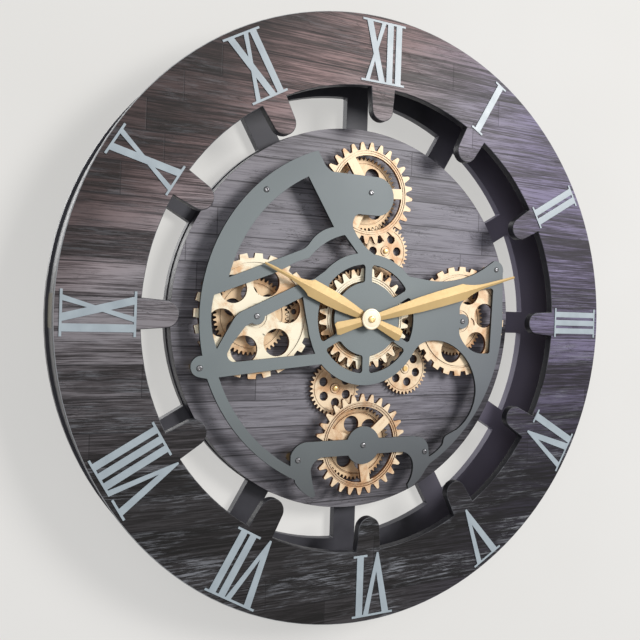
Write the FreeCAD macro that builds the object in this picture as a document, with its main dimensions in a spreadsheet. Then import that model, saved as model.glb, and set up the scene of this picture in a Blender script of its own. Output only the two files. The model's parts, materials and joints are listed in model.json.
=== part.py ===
import FreeCAD, Part
import math
import os
from types import SimpleNamespace

import Sketcher
from FreeCAD import Placement, Rotation, Vector

# Wall clock with a moving gear display.
# X runs right, Y runs back to the wall and Z runs up, in millimetres.
# The origin is on the clock's axis, in the plane of the wall.
# A depth is measured back from the front face of the printed ring.

SIZES = {
    # Whole clock
    "glue_clearance": 0.05,
    "running_clearance": 0.06,
    "end_play": 0.3,
    "cut_overrun": 1.0,
    # Front ring
    "face_width": 70.0,
    "face_thickness": 9.0,
    "dial_to_face_gap": 35.0,
    "tongue_root_width": 27.3,
    "tongue_tip_width": 24.0,
    "dial_to_tongue_gap": 2.0,
    # Numerals
    "numeral_foot_margin": 3.7,
    "numeral_top_margin": 4.8,
    "numeral_thickness": 0.8,
    "thick_stroke": 6.7,
    "thin_stroke": 3.4,
    "thin_stroke_end": 4.8,
    "end_bar": 2.1,
    "end_bar_overhang": 4.0,
    "stroke_gap": 3.2,
    "x_gap": 1.3,
    "v_gap": 0.6,
    "x_width": 22.8,
    "v_width": 29.0,
    "v_bar_gap": 5.4,
    # Rim
    "rim_inset": 2.5,
    "rim_wall": 5.0,
    "rim_block_length": 30.0,
    "rim_block_wall": 12.0,
    # Rear frame
    "rear_frame_thickness": 9.0,
    "rear_ring_setback": 1.0,
    "rear_spoke_width": 25.0,
    "rear_hub_overhang": 1.0,
    "rear_hub_width": 36.0,
    "rear_fillet": 1.0,
    # Dial
    "dial_front_depth": 38.5,
    "dial_margin": 21.2,
    "dial_thickness": 5.0,
    "drum_wall": 10.0,
    "drum_length": 10.5,
    # Screws that hold the rear frame to the drum
    "frame_screw_radius": 2.0,
    "frame_screw_head_radius": 4.0,
    "frame_screw_head_height": 2.0,
    "frame_screw_bite": 8.0,
    # Gear plate
    "plate_margin": 55.297,
    "plate_front_depth": 18.0,
    "plate_thickness": 3.0,
    "hub_ring_outer_radius": 66.2,
    "hub_window_outer_radius": 55.3,
    "hub_window_inner_radius": 37.3,
    "hub_bar_width": 8.0,
    "hub_window_fillet": 3.0,
    "bottom_boss_radius": 19.2,
    "side_boss_radius": 8.0,
    "ear_radius": 8.0,
    "plate_post_radius": 4.0,
    "plate_screw_radius": 1.5,
    "plate_screw_head_radius": 2.8,
    "plate_screw_head_height": 1.4,
    "plate_screw_bite": 8.0,
    # Gear train
    "gear_module": 1.463,
    "pressure_angle": 20.0,
    "tooth_backlash": 0.26,
    "small_gear_angle": 20.62,
    "fine_gear_front_depth": 33.0,
    "fine_gear_thickness": 3.5,
    "fine_gear_hole_radius": 8.2,
    "fine_gear_hole_circle": 20.9,
    "centre_gear_hole_radius": 5.0,
    "centre_gear_hole_circle": 38.0,
    "small_gear_hole_radius": 4.6,
    "small_gear_hole_circle": 14.5,
    "pinion_hole_radius": 2.8,
    "pinion_hole_circle": 10.2,
    "small_gear_boss_radius": 4.8,
    "small_gear_boss_height": 0.8,
    "top_fine_hole_angle": 6.0,
    "bottom_fine_hole_angle": 48.6,
    "left_fine_hole_angle": 38.0,
    "right_fine_hole_angle": 41.0,
    "upper_small_hole_angle": 2.0,
    "lower_small_hole_angle": 33.0,
    "drive_hole_angle": 43.5,
    "drive_gear_angle": -43.0,
    "centre_gear_angle": 90.0,
    # Show gears
    "show_gear_front_depth": 22.5,
    "show_gear_thickness": 3.5,
    "round_tooth_tip_radius": 51.8,
    "round_tooth_root_radius": 44.0,
    "round_tooth_root_width": 7.0,
    "round_tooth_tip_width": 3.7,
    "round_gear_rim_inner_radius": 38.5,
    "round_gear_hub_radius": 15.0,
    "round_gear_spoke_width": 10.5,
    "square_tooth_tip_radius": 59.5,
    "square_tooth_root_radius": 54.8,
    "square_tooth_root_width": 8.8,
    "square_tooth_tip_width": 7.6,
    "square_gear_hole_radius": 13.3,
    "square_gear_hole_circle": 33.4,
    "square_gear_hole_angle": 12.0,
    "top_tooth_angle": -1.9,
    "top_spoke_angle": 4.0,
    "bottom_tooth_angle": -0.3,
    "bottom_spoke_angle": 40.0,
    "centre_tooth_angle": 5.2,
    "centre_spoke_angle": 30.0,
    "left_tooth_angle": -1.6,
    "right_tooth_angle": -1.2,
    # Axles, bushes and pins of the gears
    "axle_radius": 3.0,
    "bush_sleeve_radius": 5.5,
    "bush_flange_radius": 10.0,
    "bush_collar_radius": 9.0,
    "centre_bush_sleeve_radius": 7.5,
    "centre_bush_flange_radius": 12.0,
    "pin_radius": 2.0,
    "pin_head_radius": 2.6,
    "pin_head_height": 1.6,
    "washer_radius": 4.5,
    # Clock movement
    "movement_width": 56.0,
    "movement_depth": 15.5,
    "movement_corner": 4.0,
    "cell_radius": 7.0,
    "cell_length": 50.0,
    "cell_clearance": 0.3,
    "cell_offset": 18.0,
    "stem_radius": 4.5,
    "stem_bore_radius": 3.1,
    "stem_front_depth": 15.0,
    "hour_pipe_radius": 3.04,
    "hour_pipe_bore_radius": 1.9,
    "minute_arbor_radius": 1.84,
    "nut_radius": 7.5,
    "nut_thickness": 2.4,
    "knob_radius": 8.0,
    "knob_thickness": 2.5,
    "knob_stub_radius": 2.0,
    "knob_stub_length": 5.0,
    "knob_offset": 14.0,
    # Hands
    "hand_thickness": 1.0,
    "hour_hand_front_depth": 13.0,
    "hour_hand_length": 124.5,
    "hour_hand_width": 17.5,
    "hour_hand_angle": 293.9,
    "minute_hand_front_depth": 10.5,
    "minute_hand_length": 189.5,
    "minute_hand_width": 17.5,
    "minute_hand_angle": 74.4,
    "hand_hub_radius": 8.5,
    "hand_cap_radius": 10.8,
    "hand_cap_thickness": 1.8,
    "cap_nut_radius": 3.5,
    "cap_nut_thickness": 2.0,
    # Gear drive
    "motor_width": 42.0,
    "motor_height": 30.0,
    "motor_depth": 15.0,
    "motor_bearing_depth": 8.0,
    "motor_shaft_radius": 2.0,
    "motor_screw_spacing": 34.0,
    "motor_screw_bite": 4.0,
    "battery_box_width": 64.0,
    "battery_box_height": 34.0,
    "battery_box_depth": 17.0,
    "battery_box_wall": 1.6,
    "battery_box_offset_x": -78.0,
    "battery_box_offset_z": 62.0,
    "drive_cell_radius": 6.9,
    "drive_cell_length": 50.0,
    "battery_cover_thickness": 1.6,
    "battery_cover_lip": 1.2,
    "switch_width": 16.0,
    "switch_height": 9.0,
    "switch_depth": 8.0,
    "switch_offset_x": -20.0,
    "switch_offset_z": 62.0,
    "switch_lever_width": 3.0,
    "switch_lever_height": 4.0,
    "switch_lever_reach": 3.0,
    "switch_travel": 4.0,
    # Hanger
    "hanger_width": 64.0,
    "hanger_height": 24.0,
    "hanger_thickness": 1.5,
    "hanger_inset": 35.0,
    "keyhole_radius": 4.5,
    "keyhole_slot_radius": 2.2,
    "keyhole_slot_rise": 8.0,
    "keyhole_pocket_depth": 6.0,
    "hanger_screw_spacing": 50.0,
    "hanger_screw_radius": 1.5,
    "hanger_screw_head_radius": 2.8,
    "hanger_screw_head_height": 0.8,
    "hanger_screw_length": 6.0,
}

HOURS = 12
CENTRE_TEETH = 68
FINE_TEETH = 50
SMALL_TEETH = 36
PINION_TEETH = 22
ROUND_TEETH = 28
SQUARE_TEETH = 24
WEB_HOLES = 6
FRAME_SCREWS = 6

# Tooth heights as shares of the module
ADDENDUM_SHARE = 0.90
DEDENDUM_SHARE = 1.15

# Each numeral: text, width of its strokes and of its V as shares of their sizes, and
# how far it lies clockwise of its hour line as a share of the thick stroke
NUMERAL_SHARES = (
    ("XII", 1.00, 1.00, -0.21),
    ("I", 1.12, 1.00, -0.25),
    ("II", 1.10, 1.00, -0.21),
    ("III", 0.92, 1.00, -0.25),
    ("IV", 1.20, 1.08, 0.06),
    ("V", 1.12, 1.05, -0.21),
    ("VI", 1.10, 1.03, -0.91),
    ("VII", 1.04, 0.98, -0.66),
    ("VIII", 0.96, 0.90, -0.31),
    ("IX", 1.00, 1.00, -0.13),
    ("X", 1.00, 1.00, -0.31),
    ("XI", 1.00, 1.00, -0.40),
)
# Outline of a V as shares of its width and of the numeral's height
V_SHARES = (
    (-0.500, 1.000),
    (-0.245, 1.000),
    (0.028, 0.290),
    (0.303, 1.000),
    (0.500, 1.000),
    (0.034, -0.020),
    (-0.034, -0.020),
)

# Outlines of the gear plate, as shares of its radius.
# A point is the end of a straight edge. Two points are the middle and the end of an arc.
PLATE_START_SHARE = (-0.349, 0.940)
PLATE_STEPS_SHARES = (
    ((-0.987, 0.160), (-0.978, -0.214)),
    ((-1.036, -0.287), (-0.988, -0.328)),
    (-0.948, -0.336),
    ((-0.706, -0.712), (-0.429, -0.907)),
    (-0.426, -0.922),
    ((-0.372, -0.984), (-0.318, -1.019)),
    (-0.297, -1.007),
    ((-0.320, -0.927), (-0.332, -0.865)),
    ((-0.315, -0.822), (-0.258, -0.792)),
    (0.257, -0.791),
    ((0.326, -0.822), (0.349, -0.877)),
    ((0.343, -0.934), (0.314, -0.991)),
    (0.320, -1.019),
    ((0.380, -0.982), (0.440, -0.911)),
    (0.469, -0.877),
    ((0.919, -0.374), (0.994, 0.107)),
    (0.988, 0.314),
    ((0.971, 0.376), (0.917, 0.391)),
    (0.846, 0.344),
    ((0.745, 0.292), (0.630, 0.258)),
    ((0.544, 0.245), (0.458, 0.242)),
    ((0.372, 0.251), (0.286, 0.262)),
    ((0.257, 0.273), (0.229, 0.297)),
    (0.143, 0.345),
    ((0.085, 0.366), (0.028, 0.381)),
    ((-0.058, 0.449), (-0.104, 0.510)),
    ((-0.115, 0.544), (-0.107, 0.576)),
    ((-0.090, 0.600), (-0.058, 0.605)),
    (0.045, 0.605),
    ((0.153, 0.718), (0.045, 0.832)),
    (-0.253, 0.831),
    ((-0.288, 0.850), (-0.314, 0.884)),
)
LOWER_WINDOW_START_SHARE = (-0.885, -0.329)
LOWER_WINDOW_STEPS_SHARES = (
    (-0.688, -0.307),
    (-0.573, -0.293),
    (-0.287, -0.263),
    ((0.000, -0.387), (0.329, -0.190)),
    ((0.372, -0.147), (0.446, -0.123)),
    ((0.561, -0.132), (0.673, -0.191)),
    ((0.761, -0.294), (0.801, -0.431)),
    ((0.761, -0.580), (0.663, -0.677)),
    (0.592, -0.707),
    ((0.573, -0.723), (0.566, -0.751)),
    (0.558, -0.768),
    ((0.515, -0.805), (0.463, -0.833)),
    (0.457, -0.780),
    ((0.429, -0.728), (0.366, -0.705)),
    (0.343, -0.701),
    (-0.361, -0.700),
    ((-0.435, -0.733), (-0.458, -0.773)),
    (-0.457, -0.829),
    ((-0.666, -0.672), (-0.885, -0.329)),
)
UPPER_LEFT_WINDOW_START_SHARE = (-0.403, 0.787)
UPPER_LEFT_WINDOW_STEPS_SHARES = (
    ((-0.687, 0.545), (-0.847, 0.203)),
    (-0.446, 0.370),
    ((-0.410, 0.388), (-0.380, 0.421)),
    ((-0.322, 0.481), (-0.236, 0.518)),
)
MIDDLE_LEFT_WINDOW_START_SHARE = (-0.900, -0.178)
MIDDLE_LEFT_WINDOW_STEPS_SHARES = (
    ((-0.935, -0.035), (-0.924, 0.106)),
    (-0.589, 0.237),
    (-0.517, 0.274),
    ((-0.448, 0.311), (-0.385, 0.331)),
    ((-0.299, 0.415), (-0.164, 0.478)),
    (-0.075, 0.378),
    ((-0.196, 0.335), (-0.281, 0.266)),
    (-0.345, 0.220),
    (-0.397, 0.203),
    (-0.746, 0.034),
    ((-0.792, 0.006), (-0.815, -0.023)),
)
LOW_LEFT_WINDOW_START_SHARE = (-0.723, -0.044)
LOW_LEFT_WINDOW_STEPS_SHARES = (
    (-0.414, 0.114),
    ((-0.385, -0.024), (-0.347, -0.161)),
    (-0.328, -0.203),
    (-0.791, -0.247),
    ((-0.831, -0.235), (-0.842, -0.201)),
    (-0.820, -0.155),
    (-0.746, -0.057),
)
RIGHT_WINDOW_START_SHARE = (0.894, 0.215)
RIGHT_WINDOW_STEPS_SHARES = (
    ((0.910, 0.210), (0.914, 0.193)),
    (0.901, -0.179),
    ((0.895, -0.197), (0.876, -0.201)),
    (0.830, -0.201),
    ((0.744, -0.174), (0.676, -0.108)),
    ((0.661, -0.075), (0.659, -0.058)),
    (0.659, 0.061),
    ((0.663, 0.099), (0.687, 0.129)),
    ((0.774, 0.185), (0.894, 0.215)),
)
PLATE_WINDOWS = (
    (LOWER_WINDOW_START_SHARE, LOWER_WINDOW_STEPS_SHARES),
    (UPPER_LEFT_WINDOW_START_SHARE, UPPER_LEFT_WINDOW_STEPS_SHARES),
    (MIDDLE_LEFT_WINDOW_START_SHARE, MIDDLE_LEFT_WINDOW_STEPS_SHARES),
    (LOW_LEFT_WINDOW_START_SHARE, LOW_LEFT_WINDOW_STEPS_SHARES),
    (RIGHT_WINDOW_START_SHARE, RIGHT_WINDOW_STEPS_SHARES),
)
# Places of the plate's posts, as shares of its radius; the first two are on the bridge
PLATE_POST_SHARES = (
    (-0.412, -0.799),
    (0.429, -0.800),
    (-0.650, 0.689),
    (-0.990, -0.279),
    (0.934, 0.336),
)

# Hands: distance from the axis as a share of the length, half width as a share of the width
HOUR_HAND_SHARES = (
    (-0.330, 0.300),
    (-0.300, 0.380),
    (0.000, 0.190),
    (0.090, 0.255),
    (0.175, 0.345),
    (0.275, 0.430),
    (0.400, 0.490),
    (0.575, 0.500),
    (0.590, 0.400),
    (0.620, 0.310),
    (0.660, 0.230),
    (0.710, 0.150),
    (0.790, 0.110),
    (0.920, 0.090),
    (1.000, 0.055),
)
MINUTE_HAND_SHARES = (
    (-0.212, 0.300),
    (-0.195, 0.380),
    (0.000, 0.190),
    (0.185, 0.335),
    (0.320, 0.445),
    (0.460, 0.490),
    (0.630, 0.500),
    (0.645, 0.420),
    (0.675, 0.320),
    (0.710, 0.230),
    (0.745, 0.165),
    (0.790, 0.130),
    (0.900, 0.100),
    (1.000, 0.070),
)

FRONT = Vector(0, -1, 0)
TO_FRONT = Rotation(Vector(1, 0, 0), 90)

doc = FreeCAD.newDocument("GearClock")
sheet = doc.addObject("Spreadsheet::Sheet", "Sizes")
for row, (alias, value) in enumerate(SIZES.items(), 1):
    sheet.set("A%d" % row, alias)
    sheet.set("B%d" % row, str(value))
    sheet.setAlias("B%d" % row, alias)
doc.recompute()
size = SimpleNamespace(**{alias: float(sheet.get(alias)) for alias in SIZES})

sub_parts = []


# Places worked out from the sizes
clock_depth = size.dial_front_depth + size.dial_thickness + size.drum_length + size.rear_frame_thickness


def at_depth(depth):
    return depth - clock_depth


def turned(radius, degrees):
    """Point at a radius, with its angle measured from +X towards +Z."""
    angle = math.radians(degrees)
    return radius * math.cos(angle), radius * math.sin(angle)


def clock_angle(degrees):
    """Angle from +X of a direction given clockwise from twelve o'clock."""
    return 90 - degrees


def pitch_radius(teeth):
    return size.gear_module * teeth / 2


def mesh_distance(first_teeth, second_teeth):
    return pitch_radius(first_teeth) + pitch_radius(second_teeth)


def height_above(axis, reach):
    """Height, straight above the clock's axis, of the point at a reach from another axis."""
    return axis[1] + math.sqrt(reach ** 2 - axis[0] ** 2)


face_back = at_depth(size.face_thickness)
rear_frame_front = -size.rear_frame_thickness
dial_front = at_depth(size.dial_front_depth)
dial_back = dial_front + size.dial_thickness
plate_front = at_depth(size.plate_front_depth)
plate_back = plate_front + size.plate_thickness
show_gear_back = at_depth(size.show_gear_front_depth + size.show_gear_thickness)
show_gear_front = at_depth(size.show_gear_front_depth)
fine_gear_back = at_depth(size.fine_gear_front_depth + size.fine_gear_thickness)
fine_gear_front = at_depth(size.fine_gear_front_depth)
side_axis_distance = mesh_distance(CENTRE_TEETH, PINION_TEETH) + mesh_distance(PINION_TEETH, FINE_TEETH)
plate_radius = side_axis_distance + size.plate_margin
dial_radius = plate_radius + size.dial_margin
face_opening_radius = dial_radius + size.dial_to_face_gap
face_radius = face_opening_radius + size.face_width
hanger_centre_radius = face_radius - size.hanger_inset
rear_hub_radius = dial_radius + size.rear_hub_overhang
left_axis = (-side_axis_distance, 0.0)
right_axis = (side_axis_distance, 0.0)
left_pinion_axis = (-mesh_distance(CENTRE_TEETH, PINION_TEETH), 0.0)
right_pinion_axis = (mesh_distance(CENTRE_TEETH, PINION_TEETH), 0.0)
small_gear_reach = mesh_distance(CENTRE_TEETH, SMALL_TEETH)
small_to_fine = mesh_distance(SMALL_TEETH, FINE_TEETH)
upper_small_axis = turned(small_gear_reach, clock_angle(size.small_gear_angle))
lower_small_axis = turned(small_gear_reach, clock_angle(size.small_gear_angle + 180))
top_axis = (0.0, height_above(upper_small_axis, small_to_fine))
bottom_axis = (0.0, -top_axis[1])
drive_axis = turned(small_gear_reach, size.drive_gear_angle)
plate_post_places = [(plate_radius * x, plate_radius * z) for x, z in PLATE_POST_SHARES]
axle_places = [top_axis, bottom_axis, left_axis, right_axis]
pin_places = [upper_small_axis, lower_small_axis, left_pinion_axis, right_pinion_axis]


# Helpers for shapes
def flat(x, z):
    return Vector(x, 0, z)


def disc(radius, thickness, x=0.0, z=0.0, back=0.0):
    """Solid disc or rod that stands to the front from its back face."""
    return Part.makeCylinder(radius, thickness, Vector(x, back, z), FRONT)


def ring(outer, inner, thickness, x=0.0, z=0.0, back=0.0):
    return disc(outer, thickness, x, z, back).cut(disc(inner, thickness, x, z, back))


def prism(points, thickness):
    """Flat board with straight edges through the points."""
    corners = [flat(*point) for point in points]
    wire = Part.makePolygon(corners + corners[:1])
    return Part.Face(wire).extrude(FRONT * thickness)


def steps_wire(start, steps, scale):
    """Closed outline of lines and arcs, from shares of a scale."""
    first = flat(start[0] * scale, start[1] * scale)
    here = first
    edges = []
    for step in steps:
        if isinstance(step[0], tuple):
            middle, end = (flat(x * scale, z * scale) for x, z in step)
            edges.append(Part.Arc(here, middle, end).toShape())
        else:
            end = flat(step[0] * scale, step[1] * scale)
            edges.append(Part.LineSegment(here, end).toShape())
        here = end
    if here != first:
        edges.append(Part.LineSegment(here, first).toShape())
    return Part.Wire(edges)


def steps_board(start, steps, scale, thickness):
    return Part.Face(steps_wire(start, steps, scale)).extrude(FRONT * thickness)


def fused(shapes):
    return shapes[0].multiFuse(shapes[1:]).removeSplitter()


def add_feature(label, shape, x=0.0, y=0.0, z=0.0, rotation=None):
    """One sub-part from a shape in its own frame, whose back face lies at zero."""
    item = doc.addObject("Part::Feature", label)
    item.Label = label
    item.Shape = shape
    item.Placement = Placement(Vector(x, y, z), rotation or Rotation())
    sub_parts.append(item)
    return item


# Helpers for bound primitives
def bind(item, **expressions):
    for name, expression in expressions.items():
        item.setExpression(name, expression)


def place(item, x=None, y=None, z=None, rotation=None):
    item.Placement = Placement(Vector(), rotation or Rotation())
    for axis, expression in (("x", x), ("y", y), ("z", z)):
        if expression:
            item.setExpression("Placement.Base." + axis, expression)


def bound_disc(name, radius, thickness, x=None, y=None, z=None):
    item = doc.addObject("Part::Cylinder", name)
    bind(item, Radius=radius, Height=thickness)
    place(item, x, y, z, TO_FRONT)
    return item


def bound_box(name, width, depth, height, x=None, y=None, z=None):
    item = doc.addObject("Part::Box", name)
    bind(item, Length=width, Width=depth, Height=height)
    place(item, x, y, z)
    return item


def bound_cut(name, base, tool):
    item = doc.addObject("Part::Cut", name)
    item.Base = base
    item.Tool = tool
    return item


def bound_common(name, base, tool):
    item = doc.addObject("Part::Common", name)
    item.Base = base
    item.Tool = tool
    return item


def bound_fuse(name, shapes):
    item = doc.addObject("Part::MultiFuse", name)
    item.Shapes = shapes
    return item


def bound_ring(name, outer, inner, thickness):
    outside = bound_disc(name + "_outside", outer, thickness)
    inside = bound_disc(name + "_inside", inner, thickness)
    return bound_cut(name, outside, inside)


def add_bound(item, label, x=None, y=None, z=None):
    item.Label = label
    place(item, x, y, z)
    sub_parts.append(item)
    return item


# Helpers for bodies with sketches
def origin_plane(body, role):
    return next(item for item in body.Origin.OriginFeatures if item.Role == role)


def back_sketch(body, name):
    """Sketch on the body's own upright plane, seen from the front."""
    sketch = body.newObject("Sketcher::SketchObject", name)
    sketch.AttachmentSupport = [(origin_plane(body, "XZ_Plane"), "")]
    sketch.MapMode = "FlatFace"
    return sketch


def constrain(sketch, constraint, expression):
    index = sketch.addConstraint(constraint)
    sketch.setExpression("Constraints[%d]" % index, expression)


def draw_circle(sketch, radius, x=None, z=None):
    circle = sketch.addGeometry(Part.Circle(Vector(1, 1, 0), Vector(0, 0, 1), 1), False)
    constrain(sketch, Sketcher.Constraint("Radius", circle, 1), radius)
    for kind, expression, axis in (("DistanceX", x, -2), ("DistanceY", z, -1)):
        if expression:
            constrain(sketch, Sketcher.Constraint(kind, -1, 1, circle, 3, 1), expression)
        else:
            sketch.addConstraint(Sketcher.Constraint("PointOnObject", circle, 3, axis))


def draw_rectangle(sketch, left, right, bottom, top):
    corners = (Vector(-1, -1, 0), Vector(1, -1, 0), Vector(1, 1, 0), Vector(-1, 1, 0))
    lines = [
        sketch.addGeometry(Part.LineSegment(corner, corners[(index + 1) % 4]), False)
        for index, corner in enumerate(corners)
    ]
    for index, line in enumerate(lines):
        following = lines[(index + 1) % 4]
        sketch.addConstraint(Sketcher.Constraint("Coincident", line, 2, following, 1))
        sketch.addConstraint(Sketcher.Constraint("Vertical" if index % 2 else "Horizontal", line))
    constrain(sketch, Sketcher.Constraint("DistanceX", -1, 1, lines[0], 1, -1), left)
    constrain(sketch, Sketcher.Constraint("DistanceX", -1, 1, lines[1], 1, 1), right)
    constrain(sketch, Sketcher.Constraint("DistanceY", -1, 1, lines[0], 1, -1), bottom)
    constrain(sketch, Sketcher.Constraint("DistanceY", -1, 1, lines[2], 1, 1), top)


def pad(body, sketch, length, name="Pad"):
    feature = body.newObject("PartDesign::Pad", name)
    feature.Profile = sketch
    feature.setExpression("Length", length)
    body.Tip = feature
    return feature


def pocket(body, sketch, length, name="Pocket"):
    """Pocket that is cut to the front from the body's back plane."""
    doc.recompute()
    before = body.Shape.Volume
    feature = body.newObject("PartDesign::Pocket", name)
    feature.Profile = sketch
    feature.Reversed = True
    feature.setExpression("Length", length)
    body.Tip = feature
    doc.recompute()
    if not body.Shape.Volume < before:
        raise ValueError("%s cuts nothing" % name)
    return feature


def new_body(label):
    body = doc.addObject("PartDesign::Body", label)
    body.Label = label
    sub_parts.append(body)
    return body


# Front ring
def make_front_ring():
    root = face_opening_radius + size.cut_overrun
    half_root = size.tongue_root_width / 2
    half_tip = size.tongue_tip_width / 2
    tip = dial_radius + size.dial_to_tongue_gap
    shoulder = tip + half_tip
    board = ring(face_radius, face_opening_radius, size.face_thickness)
    edges = (
        Part.LineSegment(flat(-half_root, root), flat(-half_tip, shoulder)),
        Part.Arc(flat(-half_tip, shoulder), flat(0, tip), flat(half_tip, shoulder)),
        Part.LineSegment(flat(half_tip, shoulder), flat(half_root, root)),
        Part.LineSegment(flat(half_root, root), flat(-half_root, root)),
    )
    tongue = Part.Face(Part.Wire([edge.toShape() for edge in edges])).extrude(FRONT * size.face_thickness)
    pieces = [board]
    for hour in range(HOURS):
        copy = tongue.copy()
        copy.rotate(Vector(), Vector(0, 1, 0), 360 * hour / HOURS)
        pieces.append(copy)
    add_feature("front_ring", fused(pieces), y=face_back)


# Roman numerals
numeral_height = size.face_width - size.numeral_foot_margin - size.numeral_top_margin


def upright_stroke(left, width):
    right = left + width
    top = numeral_height
    return prism(((left, 0), (right, 0), (right, top), (left, top)), size.numeral_thickness)


def cross_strokes(left, width, thick):
    """The two strokes of an X; the thin one is slimmest in its middle."""
    right = left + width
    middle = (left + right) / 2
    half_thin = size.thin_stroke / 2
    thin_end = size.thin_stroke_end
    top = numeral_height
    thick_points = ((left, top), (left + thick, top), (right, 0), (right - thick, 0))
    thin_points = (
        (right - thin_end, top),
        (right, top),
        (middle + half_thin, top / 2),
        (left + thin_end, 0),
        (left, 0),
        (middle - half_thin, top / 2),
    )
    return [prism(points, size.numeral_thickness) for points in (thick_points, thin_points)]


def v_strokes(left, width):
    middle = left + width / 2
    points = [(middle + x * width, z * numeral_height) for x, z in V_SHARES]
    return prism(points, size.numeral_thickness)


def end_bar(left, right, bottom):
    top = bottom + size.end_bar
    return prism(((left, bottom), (right, bottom), (right, top), (left, top)), size.numeral_thickness)


def numeral_shape(text, stroke_share, v_share):
    """One numeral in a frame whose foot points to the clock's axis, centred on its hour line."""
    thick = size.thick_stroke * stroke_share
    widths = {"I": thick, "V": size.v_width * v_share, "X": size.x_width}
    gaps = {"II": size.stroke_gap, "XI": size.x_gap, "IX": size.x_gap, "VI": size.v_gap, "IV": size.v_gap}
    lefts = [0.0]
    for letter, following in zip(text, text[1:]):
        lefts.append(lefts[-1] + widths[letter] + gaps[letter + following])
    half = (lefts[-1] + widths[text[-1]]) / 2
    pieces = []
    footed = []
    for letter, start in zip(text, lefts):
        left = start - half
        right = left + widths[letter]
        if letter == "V":
            pieces.append(v_strokes(left, widths[letter]))
            continue
        footed += [left, right]
        if letter == "I":
            pieces.append(upright_stroke(left, thick))
        else:
            pieces += cross_strokes(left, widths[letter], thick)
    over = size.end_bar_overhang
    bar_foot = numeral_height - size.end_bar
    if len(text) > 3:
        break_end = half - over - thick - widths["I"] * 2 - 2 * size.stroke_gap - size.v_gap
        pieces.append(end_bar(-half - over, break_end - size.v_bar_gap, bar_foot))
        pieces.append(end_bar(break_end, half + over, bar_foot))
    else:
        pieces.append(end_bar(-half - over, half + over, bar_foot))
    if footed:
        pieces.append(end_bar(min(footed) - over, max(footed) + over, 0))
    return fused(pieces)


def make_numerals():
    foot_radius = face_opening_radius + size.numeral_foot_margin
    numerals = []
    for hour, (text, stroke_share, v_share, offset_share) in enumerate(NUMERAL_SHARES):
        numeral = numeral_shape(text, stroke_share, v_share)
        numeral.translate(flat(offset_share * size.thick_stroke, foot_radius))
        numeral.rotate(Vector(), Vector(0, 1, 0), 360 * hour / HOURS)
        numerals.append(numeral)
    add_feature("roman_numerals", Part.makeCompound(numerals), y=-clock_depth)


# Rim bands and the raw blocks that join them
SIDE_AXIS = "Sizes.gear_module * %g" % (CENTRE_TEETH / 2 + PINION_TEETH + FINE_TEETH / 2)
DIAL_RADIUS = "(%s + Sizes.plate_margin + Sizes.dial_margin)" % SIDE_AXIS
RIM_RADIUS = "(%s + Sizes.dial_to_face_gap + Sizes.face_width - Sizes.rim_inset)" % DIAL_RADIUS
RIM_LENGTH = "(Sizes.dial_front_depth + Sizes.dial_thickness + Sizes.drum_length - Sizes.face_thickness)"
RIM_BACK = "-Sizes.rear_frame_thickness"


def rim_piece(label, wall, width, height, x, z):
    tube = bound_ring(label + "_tube", RIM_RADIUS, "%s - Sizes.%s" % (RIM_RADIUS, wall), RIM_LENGTH)
    keep = bound_box(label + "_keep", width, RIM_LENGTH, height, x, "-(%s)" % RIM_LENGTH, z)
    add_bound(bound_common(label, tube, keep), label, y=RIM_BACK)


def make_rim():
    across = "2 * " + RIM_RADIUS
    half = RIM_RADIUS
    reach = RIM_RADIUS + " - Sizes.rim_block_length / 2"
    block = "Sizes.rim_block_length"
    half_block = "Sizes.rim_block_length / 2"
    rim_piece("upper_rim_band", "rim_wall", across, reach, "-" + half, half_block)
    rim_piece("lower_rim_band", "rim_wall", across, reach, "-" + half, "-" + half)
    rim_piece("left_joint_block", "rim_block_wall", half, block, "-" + half, "-" + half_block)
    rim_piece("right_joint_block", "rim_block_wall", half, block, None, "-" + half_block)


# Rear frame
def spoke_window():
    """Gap between two spokes, with its corners rounded."""
    inner = rear_hub_radius
    outer = face_opening_radius + size.rear_ring_setback
    spacing = 360 / HOURS
    inner_offset = math.degrees(math.asin(size.rear_spoke_width / 2 / inner))
    outer_offset = math.degrees(math.asin(size.rear_spoke_width / 2 / outer))
    inner_start = flat(*turned(inner, inner_offset))
    inner_middle = flat(*turned(inner, spacing / 2))
    inner_end = flat(*turned(inner, spacing - inner_offset))
    outer_start = flat(*turned(outer, outer_offset))
    outer_middle = flat(*turned(outer, spacing / 2))
    outer_end = flat(*turned(outer, spacing - outer_offset))
    edges = (
        Part.LineSegment(inner_start, outer_start),
        Part.Arc(outer_start, outer_middle, outer_end),
        Part.LineSegment(outer_end, inner_end),
        Part.Arc(inner_end, inner_middle, inner_start),
    )
    thickness = size.rear_frame_thickness
    window = Part.Face(Part.Wire([edge.toShape() for edge in edges])).extrude(FRONT * thickness)
    corners = [edge for edge in window.Edges if abs(edge.Length - thickness) < size.glue_clearance]
    return window.makeFillet(size.rear_fillet, corners)


def frame_screw_places():
    reach = dial_radius - size.drum_wall / 2
    return [turned(reach, 360 * index / FRAME_SCREWS) for index in range(FRAME_SCREWS)]


def hanger_screw_places():
    half = size.hanger_screw_spacing / 2
    return [(-half, hanger_centre_radius), (half, hanger_centre_radius)]


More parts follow.
